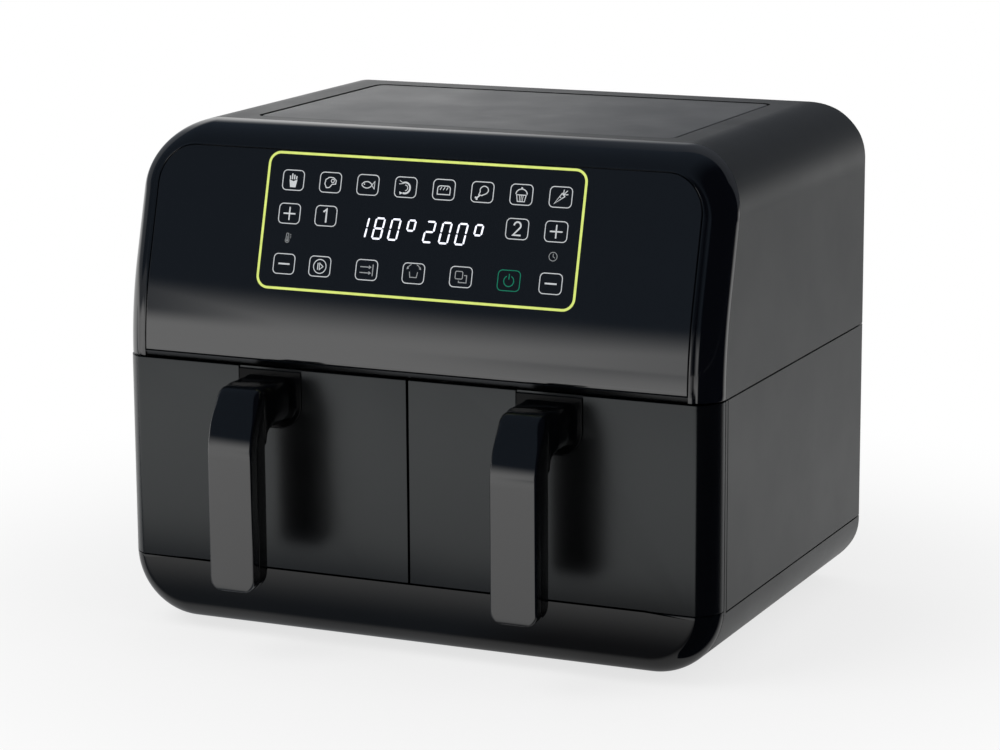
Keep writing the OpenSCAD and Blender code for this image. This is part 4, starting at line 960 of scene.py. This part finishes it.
def cake(pen):
    pen.line([(-3.0, -0.2), (-2.2, -4.0), (2.2, -4.0), (3.0, -0.2)], 0.5, closed=True)
    for x in (-1.1, 0.0, 1.1):
        pen.line([(x, -0.4), (x * 0.8, -3.8)], 0.35)
    pen.line(arc(0, 0.2, 3.5, 0, 180, 14, 3.0), 0.6)
    pen.dot(0, 3.6, 0.7)


def carrot(pen):
    pen.line([(0.6, 2.2), (2.4, 0.4), (-3.8, -3.9)], 0.55, closed=True)
    pen.line([(1.6, 1.5), (3.9, 3.9)], 0.5)
    pen.line([(1.4, 1.7), (1.7, 4.4)], 0.5)
    pen.line([(1.8, 1.4), (4.4, 1.7)], 0.5)
    pen.line([(-0.6, 0.2), (0.2, -0.4)], 0.4)


def bar(pen, x, s, half_length, half_height):
    pen.fill([(x - half_length, s - half_height), (x + half_length, s - half_height),
              (x + half_length, s + half_height), (x - half_length, s + half_height)])


def plus(pen):
    pen.key()
    bar(pen, 0, 0, 3.9, 0.42)
    bar(pen, 0, -2.17, 0.42, 1.73)
    bar(pen, 0, 2.17, 0.42, 1.73)


def minus(pen):
    pen.key()
    bar(pen, 0, 0, 3.7, 0.45)


def thermometer(pen):
    outline = arc(0, -1.6, 1.25, 130, 410, 14) + [(0.75, 2.0)] + arc(0, 2.0, 0.75, 0, 180, 6)
    pen.line(outline, 0.34, closed=True)
    pen.dot(0, -1.6, 0.62, 10)
    pen.line([(0, -1.2), (0, 1.0)], 0.34)
    for s in (0.0, 1.0, 2.0):
        pen.line([(1.5, s), (2.4, s)], 0.3)


def clock(pen):
    pen.circle(0, 0, 2.5, 0.36, 20)
    pen.line([(0, 1.7), (0, 0), (1.2, -0.8)], 0.34)


def start_pause(pen):
    pen.key()
    pen.circle(0, 0, 4.1, 0.5, 24)
    pen.line([(-1.3, -2.0), (-1.3, 2.0)], 0.55)
    pen.line([(-0.2, -1.9), (2.1, 0.0), (-0.2, 1.9)], 0.5, closed=True)


def end_together(pen):
    for s in (1.7, -1.7):
        pen.line([(-4.3, s), (1.6, s)], 0.55)
        pen.fill([(1.4, s + 1.1), (3.1, s), (1.4, s - 1.1)])
    pen.line([(4.0, -3.4), (4.0, 3.4)], 0.6)


def shake_pan(pen):
    pen.line([(-2.6, 0.9), (-2.1, -2.3), (2.1, -2.3), (2.6, 0.9)], 0.5)
    pen.line(arc(0, 1.2, 4.3, 150, 112, 6), 0.45)
    pen.line(arc(0, 1.2, 4.3, 68, 30, 6), 0.45)
    pen.fill([(-4.7, 2.2), (-3.2, 2.7), (-4.2, 4.0)])
    pen.fill([(4.7, 2.2), (4.2, 4.0), (3.2, 2.7)])


def same_setting(pen):
    pen.line(rounded(-1.3, 1.0, 4.6, 4.4, 0.8), 0.5, closed=True)
    pen.line([(2.0, 1.0), (3.6, 1.0), (3.6, -3.2), (-1.2, -3.2), (-1.2, -2.2)], 0.5)


def power(pen):
    pen.key()
    pen.line(arc(0, -0.3, 3.1, 118, 422, 22), 0.55)
    pen.line([(0, 0.6), (0, 3.9)], 0.55)


SEGMENTS = {"0": "abcdef", "1": "bc", "2": "abged", "8": "abcdefg", "o": "abgf"}


def figure(pen, char):
    """Slanted seven-segment figure; the degree sign is narrower."""
    half_width, half_height, half_line = 2.2 if char == "o" else 2.7, 6.0, 0.525
    slant, gap = 0.16, 0.22

    def flat(s):
        a, t = half_width - gap, half_line
        return [(-a, s), (-a + t, s + t), (a - t, s + t), (a, s), (a - t, s - t), (-a + t, s - t)]

    def upright(x, low, high):
        a, b, t = low + gap, high - gap, half_line
        return [(x, a), (x + t, a + t), (x + t, b - t), (x, b), (x - t, b - t), (x - t, a + t)]

    segments = {"a": flat(half_height), "g": flat(0), "d": flat(-half_height),
                "b": upright(half_width, 0, half_height), "c": upright(half_width, -half_height, 0),
                "f": upright(-half_width, 0, half_height), "e": upright(-half_width, -half_height, 0)}
    for s in SEGMENTS[char]:
        pen.fill([(x + y * slant, y) for x, y in segments[s]])


def draw_keys(white, dim, green):
    left, right = COLS[0] - 0.2, COLS[7] - 0.6
    zone1, zone2 = COLS[1] - 0.6, COLS[6] - 0.4
    for x in COLS:
        Pen(white, x, ROW1).key()
    for x, draw in zip(COLS, (potato_sticks, chop, fish, prawn, loaf, leg, cake, carrot)):
        draw(Pen(white, x, ROW1))
    for x in (left, right):
        plus(Pen(white, x, ROW2))
        minus(Pen(white, x, ROW3))
    # the two zone keys carry the numbers 1 and 2
    Pen(white, zone1, ROW2).key()
    Pen(white, zone2, ROW2).key()
    Pen(white, zone1, ROW2).line([(-1.9, 2.3), (0.2, 3.9), (0.2, -3.9)], 1.0)
    two = [(-2.2, 2.0)] + arc(0, 1.9, 2.1, 160, -30, 12) + [(-2.3, -3.6), (2.5, -3.6)]
    Pen(white, zone2, ROW2).line(two, 0.95)
    # a thermometer and a clock in place of words
    thermometer(Pen(dim, left + 0.3, 77.3))
    clock(Pen(dim, right - 0.3, 77.3))
    start_pause(Pen(white, COLS[1] - 1.0, ROW3))
    function_keys = [CENTRE - 30.6, CENTRE - 0.4, CENTRE + 29.8]
    for x in function_keys:
        Pen(white, x, ROW3).key()
    for x, draw in zip(function_keys, (end_together, shake_pan, same_setting)):
        draw(Pen(dim, x, ROW3))
    power(Pen(green, CENTRE + 59.9, ROW3))


white, dim, lit, lime, green = Print(), Print(), Print(), Print(), Print()
lime.stroke(follow_face(rounded(CENTRE, 87.4, 202.5, 80.2, 7.0, 10)), 1.5, closed=True)
draw_keys(white, dim, green)
for x, text in ((CENTRE - 36.0, "180o"), (CENTRE + 6.8, "200o")):
    for i, char in enumerate(text):
        figure(Pen(lit, x + i * 10.2, 86.4), char)

white.make("print_symbols", INK_WHITE)
dim.make("print_small_symbols", INK_DIM)
lit.make("display_figures", INK_LIT)
lime.make("print_frame_line", INK_LIME)
green.make("print_power_key", INK_GREEN)


# -------------------- stage, in metres
DOME_RADIUS, DOME_Z, CARD_LIFT = 3.2, 0.17, 0.0012
CARD_TONE, RIGHT_TONE, BACK_TONE = (0.055, 0.072, 0.098), (0.008, 0.010, 0.018), (0.13, 0.14, 0.16)
AIM = Vector((0, 0, 0.15))
AROUND = 48


def stage_mesh(name, verts, faces, mat):
    ob = add_object(name, new_mesh(name, verts, faces, unit=1.0))
    ob.data.materials.append(mat)
    return ob


def ray(nt, kind):
    """1 for rays of the kind, 0 for the others."""
    return Field(nt, add_node(nt, "ShaderNodeLightPath").outputs["Is " + kind + " Ray"])


def floor_material():
    """Pale floor with a glow of its own, full far away and weaker near the body."""
    m, nt, b = new_mat("floor_pale")
    b.inputs["Base Color"].default_value = (0.93, 0.93, 0.93, 1)
    b.inputs["Roughness"].default_value = 0.9
    b.inputs["Specular IOR Level"].default_value = 0.1
    length = add_node(nt, "ShaderNodeVectorMath", operation="LENGTH")
    nt.links.new(object_place(nt), length.inputs[0])
    distance = Field(nt, length.outputs["Value"])
    reflected = ray(nt, "Transmission").larger(ray(nt, "Glossy")) * distance.rise(0.25, 1.05, 0.30, 1.0)
    seen = ray(nt, "Camera") * distance.rise(0.22, 0.60, 0.74, 1.0)
    glow = add_node(nt, "ShaderNodeEmission", {"Color": (1, 1, 1, 1), "Strength": 1.0})
    mix_shaders(nt, nt.nodes["Material Output"], seen + reflected, b.outputs["BSDF"], glow.outputs[0])
    return m


def studio_world():
    """White world that looks brighter than it lights."""
    world = bpy.data.worlds.new("studio")
    scene.world = world
    world.use_nodes = True
    nt = world.node_tree
    nt.nodes.clear()
    light = add_node(nt, "ShaderNodeBackground", {"Color": (1, 1, 1, 1), "Strength": 0.55})
    look = add_node(nt, "ShaderNodeBackground", {"Color": (1, 1, 1, 1), "Strength": 1.0})
    seen = ray(nt, "Camera").larger(ray(nt, "Glossy")).larger(ray(nt, "Transmission"))
    mix_shaders(nt, add_node(nt, "ShaderNodeOutputWorld"), seen, light.outputs[0], look.outputs[0])


def soft_light(name, place, size, power):
    """Square light aimed at the body, unseen by the camera and the gloss."""
    light = bpy.data.lights.new(name, "AREA")
    light.shape = "SQUARE"
    light.size = size
    light.energy = power
    ob = add_object(name, light)
    ob.location = place
    ob.rotation_euler = (AIM - Vector(place)).to_track_quat("-Z", "Y").to_euler()
    ob.visible_camera = False
    ob.visible_glossy = False


def split(nt, vector):
    """X, Y and Z of a vector."""
    parts = add_node(nt, "ShaderNodeSeparateXYZ")
    nt.links.new(vector, parts.inputs[0])
    return [Field(nt, part) for part in parts.outputs]


def card_material(name, mask, tone, right_tone=None):
    """Sheet that glows in its tone where the mask is 1 and is clear where it is 0."""
    m = bpy.data.materials.new(name)
    m.use_nodes = True
    nt = m.node_tree
    nt.nodes.clear()
    place = object_place(nt)
    glow = add_node(nt, "ShaderNodeEmission", {"Color": (*tone, 1)})
    if right_tone:
        way = add_node(nt, "ShaderNodeVectorMath", operation="NORMALIZE")
        nt.links.new(place, way.inputs[0])
        to_right = split(nt, way.outputs[0])[0] * 0.5 + 0.5
        nt.links.new(ramp(nt, to_right.socket, tone, right_tone, 0.51, 0.66), glow.inputs["Color"])
    clear = add_node(nt, "ShaderNodeBsdfTransparent")
    share = mask(*split(nt, place))
    mix_shaders(nt, add_node(nt, "ShaderNodeOutputMaterial"), share, clear.outputs[0], glow.outputs[0])
    return m


def glossy_only(ob):
    """Leaves the object in reflections alone."""
    ob.visible_camera = False
    ob.visible_diffuse = False
    ob.visible_shadow = False
    ob.visible_transmission = False


def dome_mask(x, y, z):
    """Dark above a skyline that rises to the rear left, dark on the right, less dark far left."""
    u, v, up = x / DOME_RADIUS, y / DOME_RADIUS, z / DOME_RADIUS
    skyline = v.rise(-0.15, 0.55) * (0.14 - u * 0.32) + 0.090
    sky = (up - skyline).rise(-0.115, 0.115)
    right = (u.rise(-0.40, 0.02) * 0.30 + u.rise(0.0, 0.30) * 0.70) * (1.0 - v.rise(0.66, 0.90))
    left = (u * -1.0).rise(0.48, 0.73) * up.rise(-0.025, 0.055) * 0.85
    return sky.larger(right.larger(left))


def floor_mask(x, y, *rest):
    """Dark strip before the drawers, a painted shade of the floor there that only reflections meet; fans
    round the body, and what the side panel's rear meets.
    """
    ahead = FRONT * MM - y
    # painted shade: the near strip darkens the floor just before the drawers, for reflections only
    fade = 1.0 - ahead.rise(0.06, 0.165)
    near = (ahead.rise(-0.03, 0.05) * fade * 0.90).larger(ahead.rise(-0.10, -0.03) * fade * 0.35)
    rear = (y - (x - 0.19) * 2.25).rise(-0.06, 0.20) * x.rise(0.26, 0.38) * 0.55
    # from the middle of the front: everything but the far left
    v = y + 0.11
    r = (x * x + v * v).root()
    wide = (x / r).rise(-0.50, -0.16) * 0.44 * r.rise(0.5, 3.0)
    # from the front corner: the right, up to the side panel's own view
    u = x - 0.17
    r = (u * u + v * v).root()
    right = (u / r).rise(0.05, 0.34) * (1.0 - (v / r).rise(0.64, 0.90))
    return near.larger(rear).larger(right.larger(wide))


def back_mask(x, *rest):
    """Dark from the middle to the right."""
    return x.rise(-0.50, 0.0) * 0.92


def ring(radius, z):
    turns = [2 * pi * i / AROUND for i in range(AROUND)]
    return [(radius * sin(a), -radius * cos(a), z) for a in turns]


def cards():
    """Dark walls, ceiling and floor that only reflections meet: the front, the right and all above."""
    half, y, low, high, steps = 0.9, 0.75, 0.36, 1.1, 20
    wall = [(-half, y, low), (half, y, low), (half, y, high), (-half, y, high)]
    glossy_only(stage_mesh("grey_back_card", wall, [(0, 1, 2, 3)],
                           card_material("grey_back_card", back_mask, BACK_TONE)))
    verts = []
    for i in range(steps + 1):
        e = radians(-3 + 93 * i / steps)
        verts += ring(DOME_RADIUS * cos(e), DOME_RADIUS * sin(e))
    dome = stage_mesh("dark_dome", verts, grid_faces(steps + 1, AROUND, close=True),
                      card_material("dark_dome", dome_mask, CARD_TONE, RIGHT_TONE))
    dome.location.z = DOME_Z
    glossy_only(dome)
    verts = ring(0.01, CARD_LIFT) + ring(DOME_RADIUS, CARD_LIFT)
    glossy_only(stage_mesh("dark_floor_card", verts, grid_faces(2, AROUND, close=True),
                           card_material("dark_floor_card", floor_mask, CARD_TONE, RIGHT_TONE)))


def camera():
    """Camera of the photograph: its place and lens were fitted to its perspective."""
    azimuth, elevation, roll = (radians(a) for a in (24.232, 11.958, -0.3))
    distance, focal_pixels, picture_width, sensor_width = 2031.9, 3321.3, 1000.0, 36.0
    target = Vector((5.15, 11.2, 141.69 + FOOT)) * MM
    back = Vector((sin(azimuth) * cos(elevation), -cos(azimuth) * cos(elevation), sin(elevation)))
    right = Vector((cos(azimuth), sin(azimuth), 0))
    up = back.cross(right)
    rolled_right = right * cos(roll) + up * sin(roll)
    rolled_up = up * cos(roll) - right * sin(roll)
    place = Matrix((rolled_right, rolled_up, back)).transposed().to_4x4()
    place.translation = target + back * distance * MM
    data = bpy.data.cameras.new("camera")
    data.sensor_fit = "HORIZONTAL"
    data.sensor_width = sensor_width
    data.lens = focal_pixels * sensor_width / picture_width
    data.clip_end = 200.0
    ob = add_object("camera", data)
    ob.matrix_world = place
    scene.camera = ob


FLOOR_HALF = 60
corners = [(-FLOOR_HALF, -FLOOR_HALF, 0), (FLOOR_HALF, -FLOOR_HALF, 0), (FLOOR_HALF, FLOOR_HALF, 0),
           (-FLOOR_HALF, FLOOR_HALF, 0)]
stage_mesh("floor", corners, [(0, 1, 2, 3)], floor_material())
studio_world()
soft_light("key_soft", (-0.9, -1.2, 1.9), 1.4, 16)
soft_light("fill_right", (1.9, -0.3, 1.2), 1.2, 6)
cards()
camera()
scene.view_settings.view_transform = "Standard"
